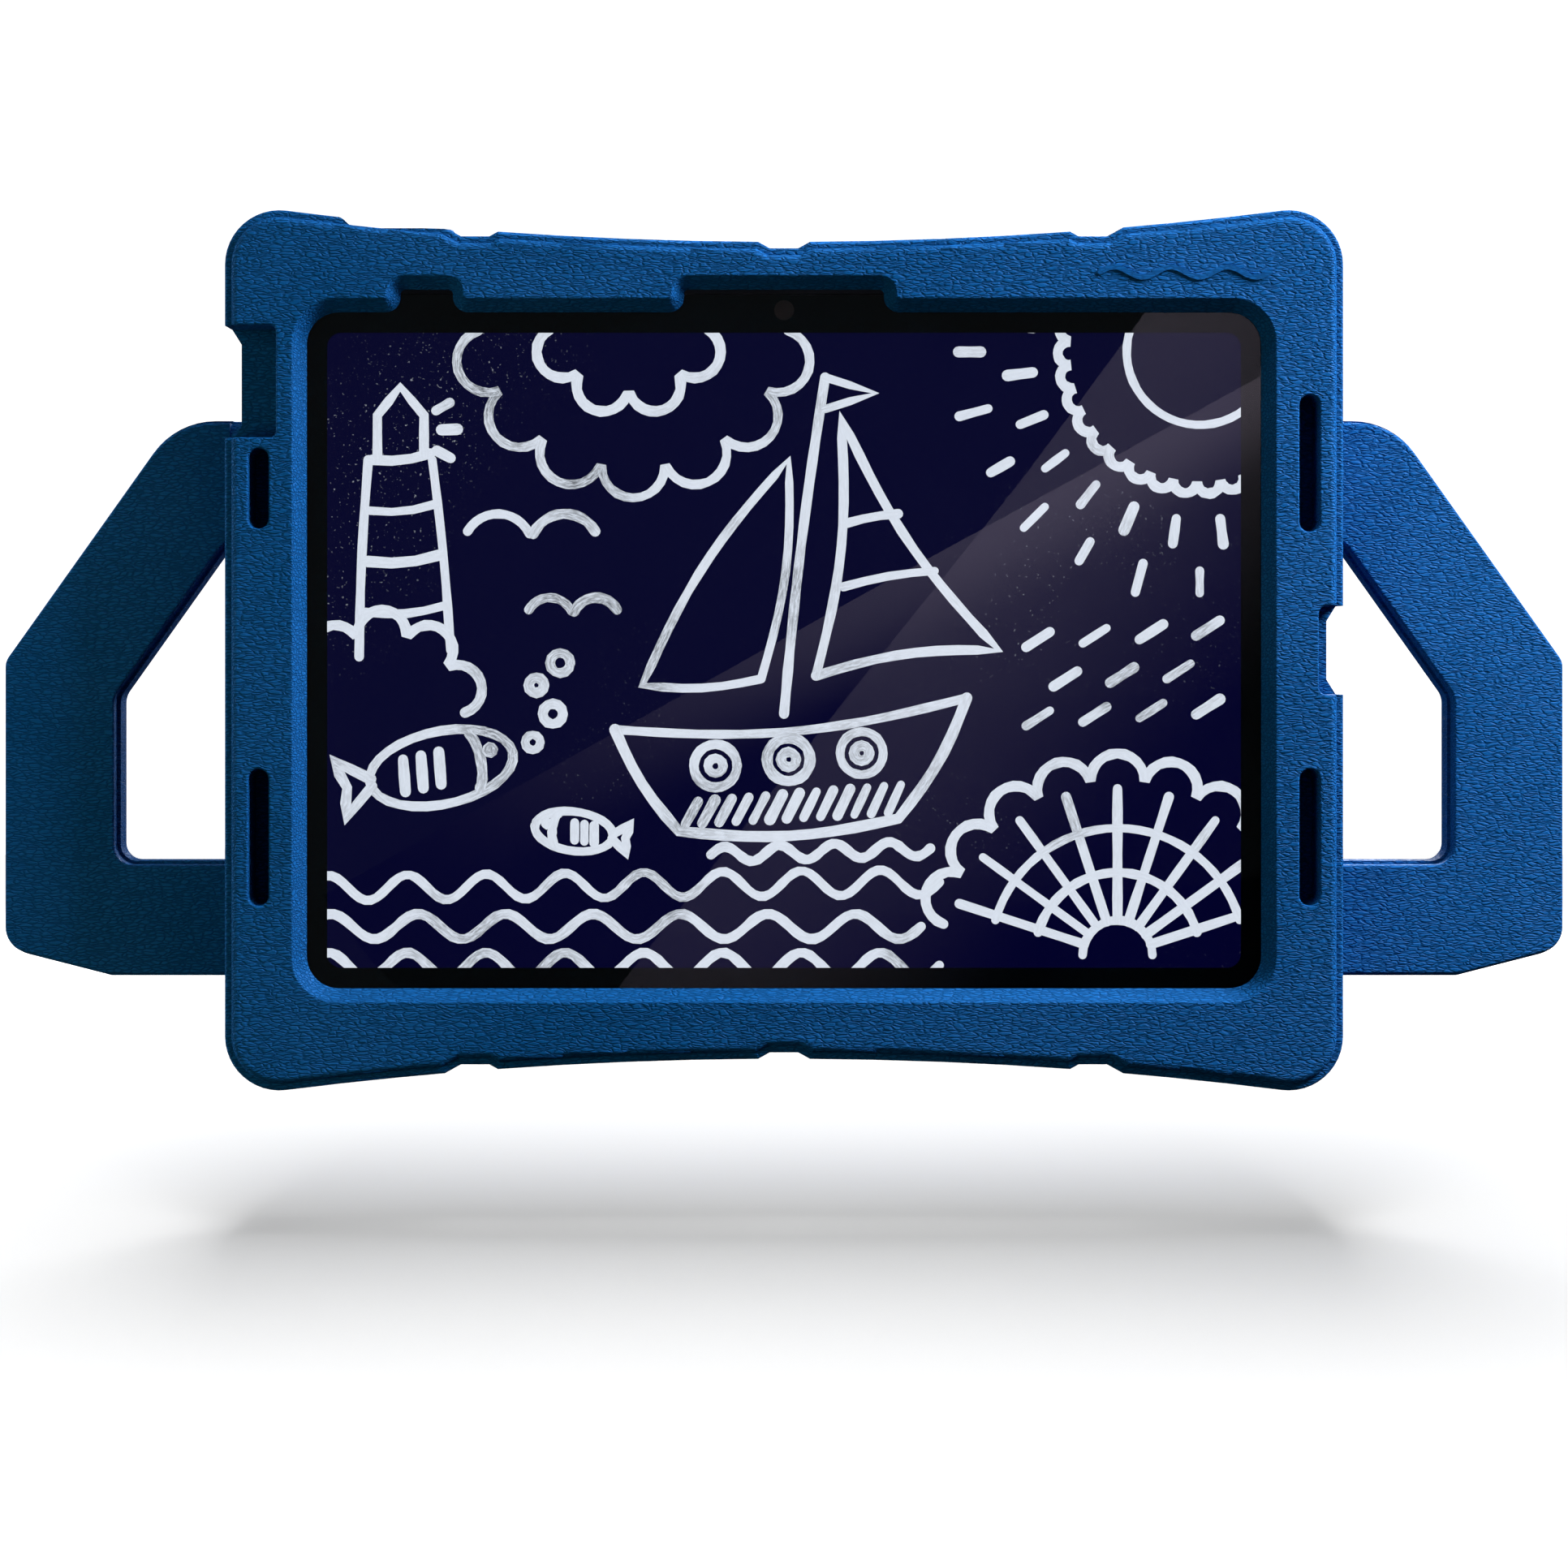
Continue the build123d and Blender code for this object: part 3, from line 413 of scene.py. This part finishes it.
def ribbon(shape, places, width, wobble, rng, start):
    """Lays a flat stroke of uneven width along upright places, with rounded ends."""
    count = len(places)
    along = start
    rows = []
    for number, place in enumerate(places):
        ahead = places[min(number + 1, count - 1)] - places[max(number - 1, 0)]
        way = ahead.normalized() if ahead.length else Vector((1, 0, 0))
        side = Vector((-way.z, 0, way.x))
        half = width / 2 * (1 + wobble * (rng.random() - 0.5))
        if number:
            along += (place - places[number - 1]).length
        left, right = shape.verts.new(place + side * half), shape.verts.new(place - side * half)
        rows.append((left, right, along, way, half))
    for (a, b, near, _, _), (c, d, far, _, _) in zip(rows, rows[1:]):
        stroke_face(shape, ((a, near, 1), (b, near, 0), (d, far, 0), (c, far, 1)))
    for row, place, outward in ((rows[0], places[0], -1), (rows[-1], places[-1], 1)):
        left, right, along, way, half = row
        side = (left.co - right.co).normalized()
        rim = [(left, along, 1)]
        for step in range(1, END_STEPS):
            angle = math.pi * step / END_STEPS
            across, beyond = math.cos(angle), outward * half * math.sin(angle)
            point = place + side * half * across + way * beyond
            rim.append((shape.verts.new(point), along + beyond, 0.5 + across / 2))
        rim.append((right, along, 0))
        stroke_face(shape, rim)


def oval(u, v, radius, start=0.0, stop=360.0, steps=40, squash=1.0, turn=0.0):
    """Points of a round or oval line, in screen heights, by its centre and radius."""
    swung = math.radians(turn)
    points = []
    for step in range(steps + 1):
        angle = math.radians(start + (stop - start) * step / steps)
        x, y = radius * math.cos(angle), radius * squash * math.sin(angle)
        x, y = x * math.cos(swung) - y * math.sin(swung), x * math.sin(swung) + y * math.cos(swung)
        points.append((u + x * ASPECT, v + y))
    return points


def path(*corners, sag=0.0):
    """Points of hand-drawn lines from corner to corner that bow a little."""
    points = [corners[0]]
    for (u0, v0), (u1, v1) in zip(corners, corners[1:]):
        steps = max(2, round(math.hypot((u1 - u0) / ASPECT, v1 - v0) * 30))
        for step in range(1, steps + 1):
            share = step / steps
            bow = sag * math.sin(math.pi * share)
            points.append((u0 + (u1 - u0) * share - bow * (v1 - v0) * ASPECT,
                           v0 + (v1 - v0) * share + bow * (u1 - u0) / ASPECT))
    return points


def scallops(u, v, radius, count, start, stop):
    """A scalloped line of round bumps along an arc."""
    points = []
    step = (stop - start) / count
    bump = radius * math.sin(math.radians(abs(step)) / 2)
    for number in range(count):
        middle = start + step * (number + 0.5)
        centre_u = u + radius * math.cos(math.radians(middle)) * ASPECT
        centre_v = v + radius * math.sin(math.radians(middle))
        points += oval(centre_u, centre_v, bump, middle - 90, middle + 90, 12)
    return points


def swell_line(u0, u1, v, height, count, tilt=0.0):
    """A rolling wave line from u0 to u1."""
    steps = count * 14
    points = []
    for step in range(steps + 1):
        share = step / steps
        crest = height * math.sin(2 * math.pi * count * share)
        points.append((u0 + (u1 - u0) * share, v + tilt * share + crest))
    return points


def ray(u, v, angle, near, far):
    """A short straight mark that points away from a centre."""
    reach = math.cos(math.radians(angle)) * ASPECT, math.sin(math.radians(angle))
    return path((u + near * reach[0], v + near * reach[1]), (u + far * reach[0], v + far * reach[1]))


def boat_lines():
    """A sailing boat that leans on the wind, with a shaded hull."""
    lines = [
        path((0.315, 0.375), (0.70, 0.425), sag=-0.05),
        path((0.315, 0.375), (0.385, 0.215), (0.625, 0.235), (0.70, 0.425), sag=-0.05),
        path((0.50, 0.40), (0.545, 0.93), sag=0.01),
        path((0.535, 0.46), (0.735, 0.50), (0.562, 0.87), (0.535, 0.46), sag=0.05),
        path((0.475, 0.455), (0.345, 0.445), (0.505, 0.80), (0.475, 0.455), sag=0.05),
        path((0.545, 0.93), (0.60, 0.905), (0.545, 0.88)),
        path((0.565, 0.60), (0.665, 0.625), sag=0.03),
        path((0.568, 0.70), (0.625, 0.715), sag=0.03),
    ]
    for number, u in enumerate((0.425, 0.505, 0.585)):
        lines.append(oval(u, 0.318 + 0.010 * number, 0.034, steps=24))
        lines.append(oval(u, 0.318 + 0.010 * number, 0.012, steps=12))
    for number in range(13):
        u = 0.392 + 0.0185 * number
        lines.append(path((u, 0.226 + 0.0015 * number), (u + 0.014, 0.262 + 0.0022 * number)))
    return lines


def sun_lines():
    """A sun in the upper right corner with scallops, two rings of rays and rows of slanting marks."""
    u, v = 0.955, 0.97
    lines = [oval(u, v, 0.115, 120, 330, 30), scallops(u, v, 0.205, 13, 165, 300)]
    for number in range(9):
        lines.append(ray(u, v, 172 + 15 * number, 0.265, 0.305))
    for number in range(8):
        lines.append(ray(u, v, 180 + 15 * number, 0.345, 0.38 + 0.012 * (number % 2)))
    for row in range(3):
        for column in range(4 - row % 2):
            u0 = 0.765 + 0.062 * column + 0.03 * (row % 2)
            v0 = 0.505 - 0.062 * row + 0.006 * column
            lines.append(path((u0, v0), (u0 + 0.026, v0 + 0.024)))
    return lines


def shell_lines():
    """A ribbed sea shell at the lower right."""
    u, v = 0.865, 0.02
    lines = [scallops(u, v, 0.275, 9, 10, 170), oval(u, v, 0.055, 0, 180, 14)]
    for number in range(9):
        lines.append(ray(u, v, 18 + 18 * number, 0.055, 0.262))
    for radius in (0.13, 0.2):
        lines.append(oval(u, v, radius, 16, 164, 30))
    return lines


def fish_lines(u, v, size, way, turn):
    """A fish with a gill line, a round eye and a forked tail; way is 1 when it swims to the right."""
    swung = math.radians(turn)

    def at(x, y):
        x, y = x * size * way, y * size
        across, up = x * math.cos(swung) - y * math.sin(swung), x * math.sin(swung) + y * math.cos(swung)
        return u + across * ASPECT, v + up

    def bow(x, y, wide, tall, angles):
        return [at(x + wide * math.cos(math.radians(a)), y + tall * math.sin(math.radians(a)))
                for a in angles]

    body = bow(0.0, 0.0, 1.0, 0.5, range(0, 361, 12))
    tail = path(at(-0.98, 0.05), at(-1.45, 0.42), at(-1.32, 0.0), at(-1.45, -0.42), at(-0.98, -0.05))
    gill = bow(0.42, 0.0, 0.13, 0.40, range(-70, 71, 14))
    eye = bow(0.70, 0.10, 0.05, 0.05, range(0, 361, 45))
    lines = [body, tail, gill, eye]
    for x in (-0.55, -0.3, -0.05):
        lines.append(path(at(x, -0.22), at(x + 0.06, 0.22)))
    return lines


def sea_scene():
    """The drawing's lines: a sailing boat, a sun, a cloud, a lighthouse, gulls, fish, a shell and waves."""
    lines = boat_lines() + sun_lines() + shell_lines()
    lines += fish_lines(0.125, 0.315, 0.115, 1, 12) + fish_lines(0.27, 0.215, 0.062, -1, -8)
    # cloud cropped by the top edge, and a smaller one inside it
    lines.append(scallops(0.335, 1.03, 0.24, 7, 186, 354))
    lines.append(scallops(0.33, 1.03, 0.12, 4, 190, 350))
    # lighthouse on a rock, at the left edge
    lines.append(path((0.035, 0.49), (0.045, 0.80), sag=0.01))
    lines.append(path((0.135, 0.50), (0.115, 0.80), sag=-0.01))
    for v in (0.56, 0.64, 0.72, 0.80):
        lines.append(path((0.040 + 0.03 * (v - 0.5), v), (0.131 - 0.06 * (v - 0.5), v + 0.01), sag=-0.06))
    lines.append(path((0.055, 0.80), (0.055, 0.87), (0.080, 0.915), (0.106, 0.87), (0.106, 0.81)))
    lines.append(scallops(0.06, 0.40, 0.125, 5, 0, 180))
    for angle in (-28, 2, 30):
        lines.append(ray(0.08, 0.845, angle, 0.065, 0.09))
    # gulls and bubbles
    for u, v, size in ((0.225, 0.66, 0.055), (0.27, 0.545, 0.038)):
        lines.append(oval(u - size * ASPECT, v, size, 25, 150, 12))
        lines.append(oval(u + size * ASPECT * 0.92, v, size, 30, 155, 12))
    for number, (u, v) in enumerate(((0.225, 0.355), (0.247, 0.40), (0.229, 0.445), (0.255, 0.48))):
        lines.append(oval(u, v, 0.012 + 0.004 * (number % 2), steps=12))
    # rows of waves, cropped by the left and bottom edges
    lines.append(swell_line(-0.02, 0.67, 0.125, 0.020, 8, 0.01))
    lines.append(swell_line(-0.02, 0.65, 0.065, 0.020, 7, 0.0))
    lines.append(swell_line(-0.02, 0.67, 0.004, 0.020, 8, 0.0))
    lines.append(swell_line(0.42, 0.66, 0.178, 0.012, 4, 0.01))
    return lines


def keep_inside(shape, low, high):
    """Trims a flat upright drawing to the rectangle between two corners."""
    for corner, way in ((low, -1), (high, 1)):
        for normal in (Vector((way, 0, 0)), Vector((0, 0, way))):
            everything = shape.verts[:] + shape.edges[:] + shape.faces[:]
            bmesh.ops.bisect_plane(shape, geom=everything, plane_co=corner, plane_no=normal, clear_outer=True)


def rounded_slab(low, high, corner, edge):
    """A flat slab between two corners, with rounded corners seen from the front and a softened front edge."""
    shape = bmesh.new()
    size = high - low
    place = Matrix.Translation((low + high) / 2) @ Matrix.Diagonal((*size, 1.0))
    bmesh.ops.create_cube(shape, size=1.0, matrix=place)
    deep = [e for e in shape.edges if abs(e.verts[0].co.y - e.verts[1].co.y) > size.y / 2]
    bmesh.ops.bevel(shape, geom=deep, offset=corner, offset_type="OFFSET", segments=14, profile=0.5,
                    affect="EDGES", material=-1)
    tiny = size.y * 0.01
    front = [e for e in shape.edges if all(v.co.y < low.y + tiny for v in e.verts)]
    bmesh.ops.bevel(shape, geom=front, offset=edge, offset_type="OFFSET", segments=3, profile=0.5,
                    affect="EDGES", material=-1)
    return shape


# ------------------------------------------------------------------ operators
class TABLETCASE_OT_stage(bpy.types.Operator):
    """Builds the pale studio: a round floor that curves up into a wall, soft lights and the camera"""
    bl_idname = "tablet_case.stage"
    bl_label = "Stage, lights and camera"

    def execute(self, context):
        floor = self.bowl()
        self.lights(floor)
        self.glare_card()
        self.camera()
        self.surroundings()
        return {"FINISHED"}

    def bowl(self):
        """A seamless white floor and wall all round, which the case doesn't pick up light from."""
        floor_z = CASE_LOW.z - settings().floor_drop
        flat, bend, tall, turns, bend_steps = 1.3, 0.9, 2.5, 48, 12
        profile = [(reach, floor_z) for reach in (0.0, 0.25, 0.6, flat)]
        for step in range(1, bend_steps + 1):
            angle = math.radians(90 * step / bend_steps)
            profile.append((flat + bend * math.sin(angle), floor_z + bend * (1 - math.cos(angle))))
        profile.append((flat + bend, floor_z + bend + tall))
        shape = bmesh.new()
        row = [shape.verts.new((reach, 0, z)) for reach, z in profile]
        edges = [shape.edges.new(pair) for pair in zip(row, row[1:])]
        bmesh.ops.spin(shape, geom=row + edges, cent=(0, 0, 0), axis=(0, 0, 1), angle=2 * math.pi,
                       steps=turns, use_merge=True)
        bmesh.ops.remove_doubles(shape, verts=shape.verts, dist=1.0 * MM)
        bmesh.ops.recalc_face_normals(shape, faces=shape.faces)
        outwards = 0.05
        turned = [f for f in shape.faces if f.normal.dot(f.calc_center_median()) > outwards]
        bmesh.ops.reverse_faces(shape, faces=turned)
        mesh = bpy.data.meshes.new("studio_bowl")
        shape.to_mesh(mesh)
        shape.free()
        for face in mesh.polygons:
            face.use_smooth = True
        mesh.materials.append(self.floor_material())
        floor = bpy.data.objects.new("studio_bowl", mesh)
        bpy.context.scene.collection.objects.link(floor)
        floor.visible_diffuse = False
        floor.visible_glossy = False
        floor.visible_transmission = False
        return floor

    def floor_material(self):
        """White that glows evenly, a little less under the case so that its shadow shows."""
        material, tree, shader = new_material("Studio white")
        place = node(tree, "ShaderNodeTexCoord", (-800, 0))
        reach = node(tree, "ShaderNodeVectorMath", (-600, 0), operation="LENGTH")
        wire(tree, place.outputs["Object"], reach.inputs[0])
        dim_reach, bright_reach = 0.14, 0.7
        glow = ramp(tree, reach.outputs["Value"], dim_reach, bright_reach, (-300, 0))
        near, far = (0.01, 0.01, 0.01), (1.0, 1.0, 1.0)
        wire(tree, mixed(tree, glow, near, far, (0, 0)), shader.inputs["Emission Color"])
        put(shader, {"Emission Strength": 1.0, "Base Color": (0.9, 0.9, 0.9, 1.0), "Roughness": 0.9,
                     "Specular IOR Level": 0.0})
        return material

    def lights(self, floor):
        """Boxes overhead that cast the case's soft shadow, and others that light the case alone."""
        spared = bpy.data.collections.new("all but the floor")
        spared.objects.link(floor)
        spared.collection_objects[0].light_linking.link_state = "EXCLUDE"
        alone = bpy.data.collections.new("the floor alone")
        alone.objects.link(floor)
        unshaded = bpy.data.collections.new("all but the handle")
        for name in ("handle_front_cover", "handle_back_body", "handle_core", "hinge_bushes"):
            unshaded.objects.link(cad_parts[name])
        for member in unshaded.collection_objects:
            member.light_linking.link_state = "EXCLUDE"
        middle = (CASE_LOW + CASE_HIGH) / 2
        # name, place from the case's middle, size, watts, colour and what it lights; fills aren't mirrored
        plan = (
            ("front floor box", (0.0, -0.40, 1.15), (0.45, 0.35), 6.9, (1.0, 1.0, 1.0), alone),
            ("floor box", (0.0, 0.0, 1.15), (0.45, 0.45), 6.9, (1.0, 1.0, 1.0), alone),
            ("back floor box", (0.0, 0.40, 1.15), (0.45, 0.35), 6.9, (1.0, 1.0, 1.0), alone),
            ("top box", (0.1, -0.05, 0.9), (0.4, 0.3), 4.0, (1.0, 1.0, 1.0), spared),
            ("key box", (0.52, -0.15, 0.42), (0.3, 0.3), 11.5, (1.0, 1.0, 1.0), spared),
            ("back box", (0.35, 1.0, 0.55), (0.6, 0.6), 17.0, (1.0, 1.0, 1.0), spared),
            ("left fill", (-0.6, -0.5, 0.2), (0.3, 0.3), 0.7, (1.0, 0.85, 0.6), spared),
            ("left strip", (-0.80, 0.06, 0.02), (0.15, 0.7), 3.6, (0.9, 0.97, 1.0), spared),
            ("low fill", (-0.42, -0.40, -0.10), (0.3, 0.15), 0.55, (1.0, 0.9, 0.4), spared),
        )
        for name, place, size, power, colour, lit in plan:
            data = bpy.data.lights.new(name, "AREA")
            data.shape = "RECTANGLE"
            data.size, data.size_y = size
            data.energy = power
            data.color = colour
            light = bpy.data.objects.new(name, data)
            light.location = middle + Vector(place)
            light.rotation_euler = (-Vector(place)).to_track_quat("-Z", "Y").to_euler()
            bpy.context.scene.collection.objects.link(light)
            light.light_linking.receiver_collection = lit
            light.visible_glossy = "fill" not in name
            if lit is alone:
                light.light_linking.blocker_collection = unshaded

    def glare_card(self):
        """A dim softbox behind the camera, seen only as a slanted band of glare in the glass."""
        material, tree, shader = new_material("Glare card")
        place = node(tree, "ShaderNodeTexCoord", (-800, 0))
        split = node(tree, "ShaderNodeSeparateXYZ", (-600, 0))
        wire(tree, place.outputs["Object"], split.inputs[0])
        band, fade_from, fade_to = 0.16, -1.1, 0.1
        black, lilac = (0.0, 0.0, 0.0), (0.92, 0.80, 1.0)
        across_fade = ramp(tree, split.outputs["X"], 0.0, band, (-300, 100), 1.0, 0.0)
        along_fade = ramp(tree, split.outputs["Y"], fade_from, fade_to, (-300, -200), 0.0, 1.0)
        glow = sum_of(tree, across_fade, along_fade, "MULTIPLY", (-100, 0))
        wire(tree, mixed(tree, glow, black, lilac, (150, 0)), shader.inputs["Emission Color"])
        put(shader, {"Emission Strength": 0.9, "Base Color": (0.0, 0.0, 0.0, 1.0)})
        shape = bmesh.new()
        bmesh.ops.create_grid(shape, x_segments=1, y_segments=1, size=0.5,
                              matrix=Matrix.Translation((0.5, 0, 0)) @ Matrix.Diagonal((1.0, 2.4, 1.0, 1.0)))
        mesh = bpy.data.meshes.new("glare_card")
        shape.to_mesh(mesh)
        shape.free()
        mesh.materials.append(material)
        card = bpy.data.objects.new("glare_card", mesh)
        # the card's straight edge lies where the glass mirrors it into the screen's diagonal
        card.location = (0.33, -1.55, CASE_HIGH.z + 0.12)
        card.rotation_euler = (math.radians(90), math.radians(52), 0)
        bpy.context.scene.collection.objects.link(card)
        card.visible_camera = False
        card.visible_diffuse = False
        card.visible_shadow = False

    def camera(self):
        """Looks straight at the glass from the front, framed a little low so that the shadow shows."""
        away = settings().camera_away
        shown_wide, sensor, low_shift, lift = 389.5 * MM, 36.0, -0.0859, 0.25 * MM
        data = bpy.data.cameras.new("camera")
        data.sensor_width = sensor
        data.lens = sensor * away / shown_wide
        data.shift_y = low_shift
        camera = bpy.data.objects.new("camera", data)
        camera.location = (0.0, GLASS_LOW.y - away, (CASE_LOW.z + CASE_HIGH.z) / 2 + lift)
        camera.rotation_euler = (math.radians(90), 0, 0)
        bpy.context.scene.collection.objects.link(camera)
        bpy.context.scene.camera = camera

    def surroundings(self):
        """A dim even sky, and colours shown as they are."""
        world = bpy.data.worlds.new("studio")
        world.use_nodes = True
        put(world.node_tree.nodes["Background"], {"Color": (0.85, 0.93, 1.0, 1.0), "Strength": 0.04})
        bpy.context.scene.world = world
        bpy.context.scene.view_settings.view_transform = "Standard"


class TABLETCASE_OT_foam(bpy.types.Operator):
    """Finishes the foam shell, front frame, pads and handle with moulded wrinkles"""
    bl_idname = "tablet_case.foam"
    bl_label = "Foam parts"

    def execute(self, context):
        dress(["rear_shell", "front_frame", "volume_up_pad", "volume_down_pad"], foam_material("Outer foam"))
        dress(["handle_front_cover", "handle_back_body"], foam_material("Handle foam"))
        return {"FINISHED"}


class TABLETCASE_OT_mark(bpy.types.Operator):
    """Moulds a plain raised wave line on the front frame's upper right"""
    bl_idname = "tablet_case.mark"
    bl_label = "Raised wave line"

    def execute(self, context):
        shape = bmesh.new()
        shape.loops.layers.uv.new(STROKE_MAP)
        start_x, step_x, steps, middle_z = 78.0 * MM, 0.5 * MM, 84, 202.4 * MM
        height, crest_length, width, sunk, proud = 1.25 * MM, 14.0 * MM, 1.3 * MM, 0.3 * MM, 0.4 * MM
        back_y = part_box("front_frame")[0].y + sunk
        places = []
        for step in range(steps + 1):
            x = step * step_x
            z = middle_z + height * math.sin(2 * math.pi * x / crest_length)
            places.append(Vector((start_x + x, back_y, z)))
        ribbon(shape, places, width, 0.0, random.Random(1), 0.0)
        grown = bmesh.ops.extrude_face_region(shape, geom=shape.faces[:])
        moved = [item for item in grown["geom"] if isinstance(item, bmesh.types.BMVert)]
        bmesh.ops.translate(shape, verts=moved, vec=(0, -sunk - proud, 0))
        bmesh.ops.recalc_face_normals(shape, faces=shape.faces)
        finish_mesh("front_mark", shape, foam_material("Mark foam", depth_scale=0.1), "case",
                    smooth=False)
        return {"FINISHED"}


class TABLETCASE_OT_hardware(bpy.types.Operator):
    """Finishes the hinge brackets, pins, screws, bushes and stiffening parts"""
    bl_idname = "tablet_case.hardware"
    bl_label = "Hinges and fasteners"

    def execute(self, context):
        dress(["hinge_bracket_left", "hinge_bracket_right"],
              hard_material("Black nylon", (0.022, 0.022, 0.025), 0.5, scale=3200.0, bump_mm=0.02))
        dress(["backing_plate", "handle_core"],
              hard_material("Stiff black plastic", (0.03, 0.03, 0.033), 0.42, scale=1500.0))
        dress(["hinge_bushes", "friction_washers"],
              hard_material("Acetal", (0.72, 0.72, 0.69), 0.35, scale=1200.0, bump_mm=0.004, spread=0.05))
        dress(["hinge_pin_left", "hinge_pin_right", "bracket_screws", "tablet_port"],
              hard_material("Plated steel", (0.6, 0.6, 0.61), 0.28, 1.0, 1400.0, (0.15, 1, 1), 0.004, 0.12))
        dress(["threaded_inserts"], hard_material("Turned brass", (0.72, 0.53, 0.24), 0.3, 1.0, 1800.0))
        return {"FINISHED"}


class TABLETCASE_OT_tablet(bpy.types.Operator):
    """Finishes the tablet's housing, border, cameras and buttons, and fits its cover glass"""
    bl_idname = "tablet_case.tablet"
    bl_label = "Tablet"

    def execute(self, context):
        dress(["tablet_housing", "tablet_top_button", "tablet_volume_up", "tablet_volume_down"],
              hard_material("Dark aluminium", (0.055, 0.058, 0.066), 0.42, 1.0, 5200.0, bump_mm=0.006,
                            spread=0.08))
        dress(["tablet_border"], hard_material("Black print", (0.0012, 0.0042, 0.0075), 0.5, scale=900.0,
                                               bump_mm=0.002, shine=0.0))
        dress(["tablet_front_camera"], hard_material("Lens coating", (0.012, 0.0065, 0.006), 0.2, scale=700.0,
                                                     bump_mm=0.002))
        dress(["tablet_rear_camera"], hard_material("Camera window", (0.01, 0.01, 0.013), 0.12, scale=700.0,
                                                    bump_mm=0.002))
        dress(["tablet_battery"], hard_material("Battery foil", (0.25, 0.25, 0.27), 0.45, 0.8, 500.0))
        gap = 0.2 * MM
        low, high = GLASS_LOW.copy(), GLASS_HIGH.copy()
        high.y -= gap
        corner, edge = 12.8 * MM, 0.25 * MM
        glass = finish_mesh("cover_glass", rounded_slab(low, high, corner, edge), glass_material(),
                            "tablet")
        glass.data.set_sharp_from_angle(angle=math.radians(40))
        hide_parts("tablet_glass")
        return {"FINISHED"}


class TABLETCASE_OT_screen(bpy.types.Operator):
    """Lights the screen and lays the drawing's lines just behind the glass"""
    bl_idname = "tablet_case.screen"
    bl_label = "Screen picture"

    def execute(self, context):
        s = settings()
        dress(["tablet_display"], screen_material())
        rng = random.Random(s.drawing_seed)
        shape = bmesh.new()
        shape.loops.layers.uv.new(STROKE_MAP)
        lines = sea_scene()
        # every stroke lies a hair in front of the one before it, so that no two share a plane
        nearest, furthest, uneven_width = 0.13 * MM, 0.02 * MM, 0.16
        for number, points in enumerate(lines):
            lift = Vector((0, -furthest - (nearest - furthest) * number / len(lines), 0))
            places = [on_screen(u, v) + lift for u, v in points]
            width = s.chalk_width * (0.85 + 0.3 * rng.random())
            ribbon(shape, places, width, uneven_width, rng, rng.random())
        keep_inside(shape, SCREEN_LOW, SCREEN_HIGH)
        turned = [face for face in shape.faces if face.normal.y > 0]
        bmesh.ops.reverse_faces(shape, faces=turned)
        if not shape.faces:
            raise RuntimeError("the drawing has no strokes left on the screen")
        finish_mesh("screen_drawing", shape, chalk_material(), "tablet", smooth=False)
        return {"FINISHED"}


class TABLETCASE_PT_panel(bpy.types.Panel):
    """Lists the case's sizes, colours and making steps"""
    bl_idname = "TABLETCASE_PT_panel"
    bl_label = "Tablet case"
    bl_space_type = "VIEW_3D"
    bl_region_type = "UI"
    bl_category = "Tablet case"

    def draw(self, context):
        column = self.layout.column()
        for name in TabletCaseSettings.__annotations__:
            column.prop(context.scene.tablet_case, name)
        for maker in MAKERS:
            column.operator(maker.bl_idname)


MAKERS = (
    TABLETCASE_OT_stage,
    TABLETCASE_OT_foam,
    TABLETCASE_OT_mark,
    TABLETCASE_OT_hardware,
    TABLETCASE_OT_tablet,
    TABLETCASE_OT_screen,
)
CLASSES = (TabletCaseSettings, *MAKERS, TABLETCASE_PT_panel)


def register():
    for made in CLASSES:
        bpy.utils.register_class(made)
    bpy.types.Scene.tablet_case = PointerProperty(type=TabletCaseSettings)


def unregister():
    del bpy.types.Scene.tablet_case
    for made in reversed(CLASSES):
        bpy.utils.unregister_class(made)


def main():
    """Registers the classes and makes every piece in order."""
    register()
    for maker in MAKERS:
        group, name = maker.bl_idname.split(".")
        getattr(getattr(bpy.ops, group), name)()


if __name__ == "__main__":
    main()
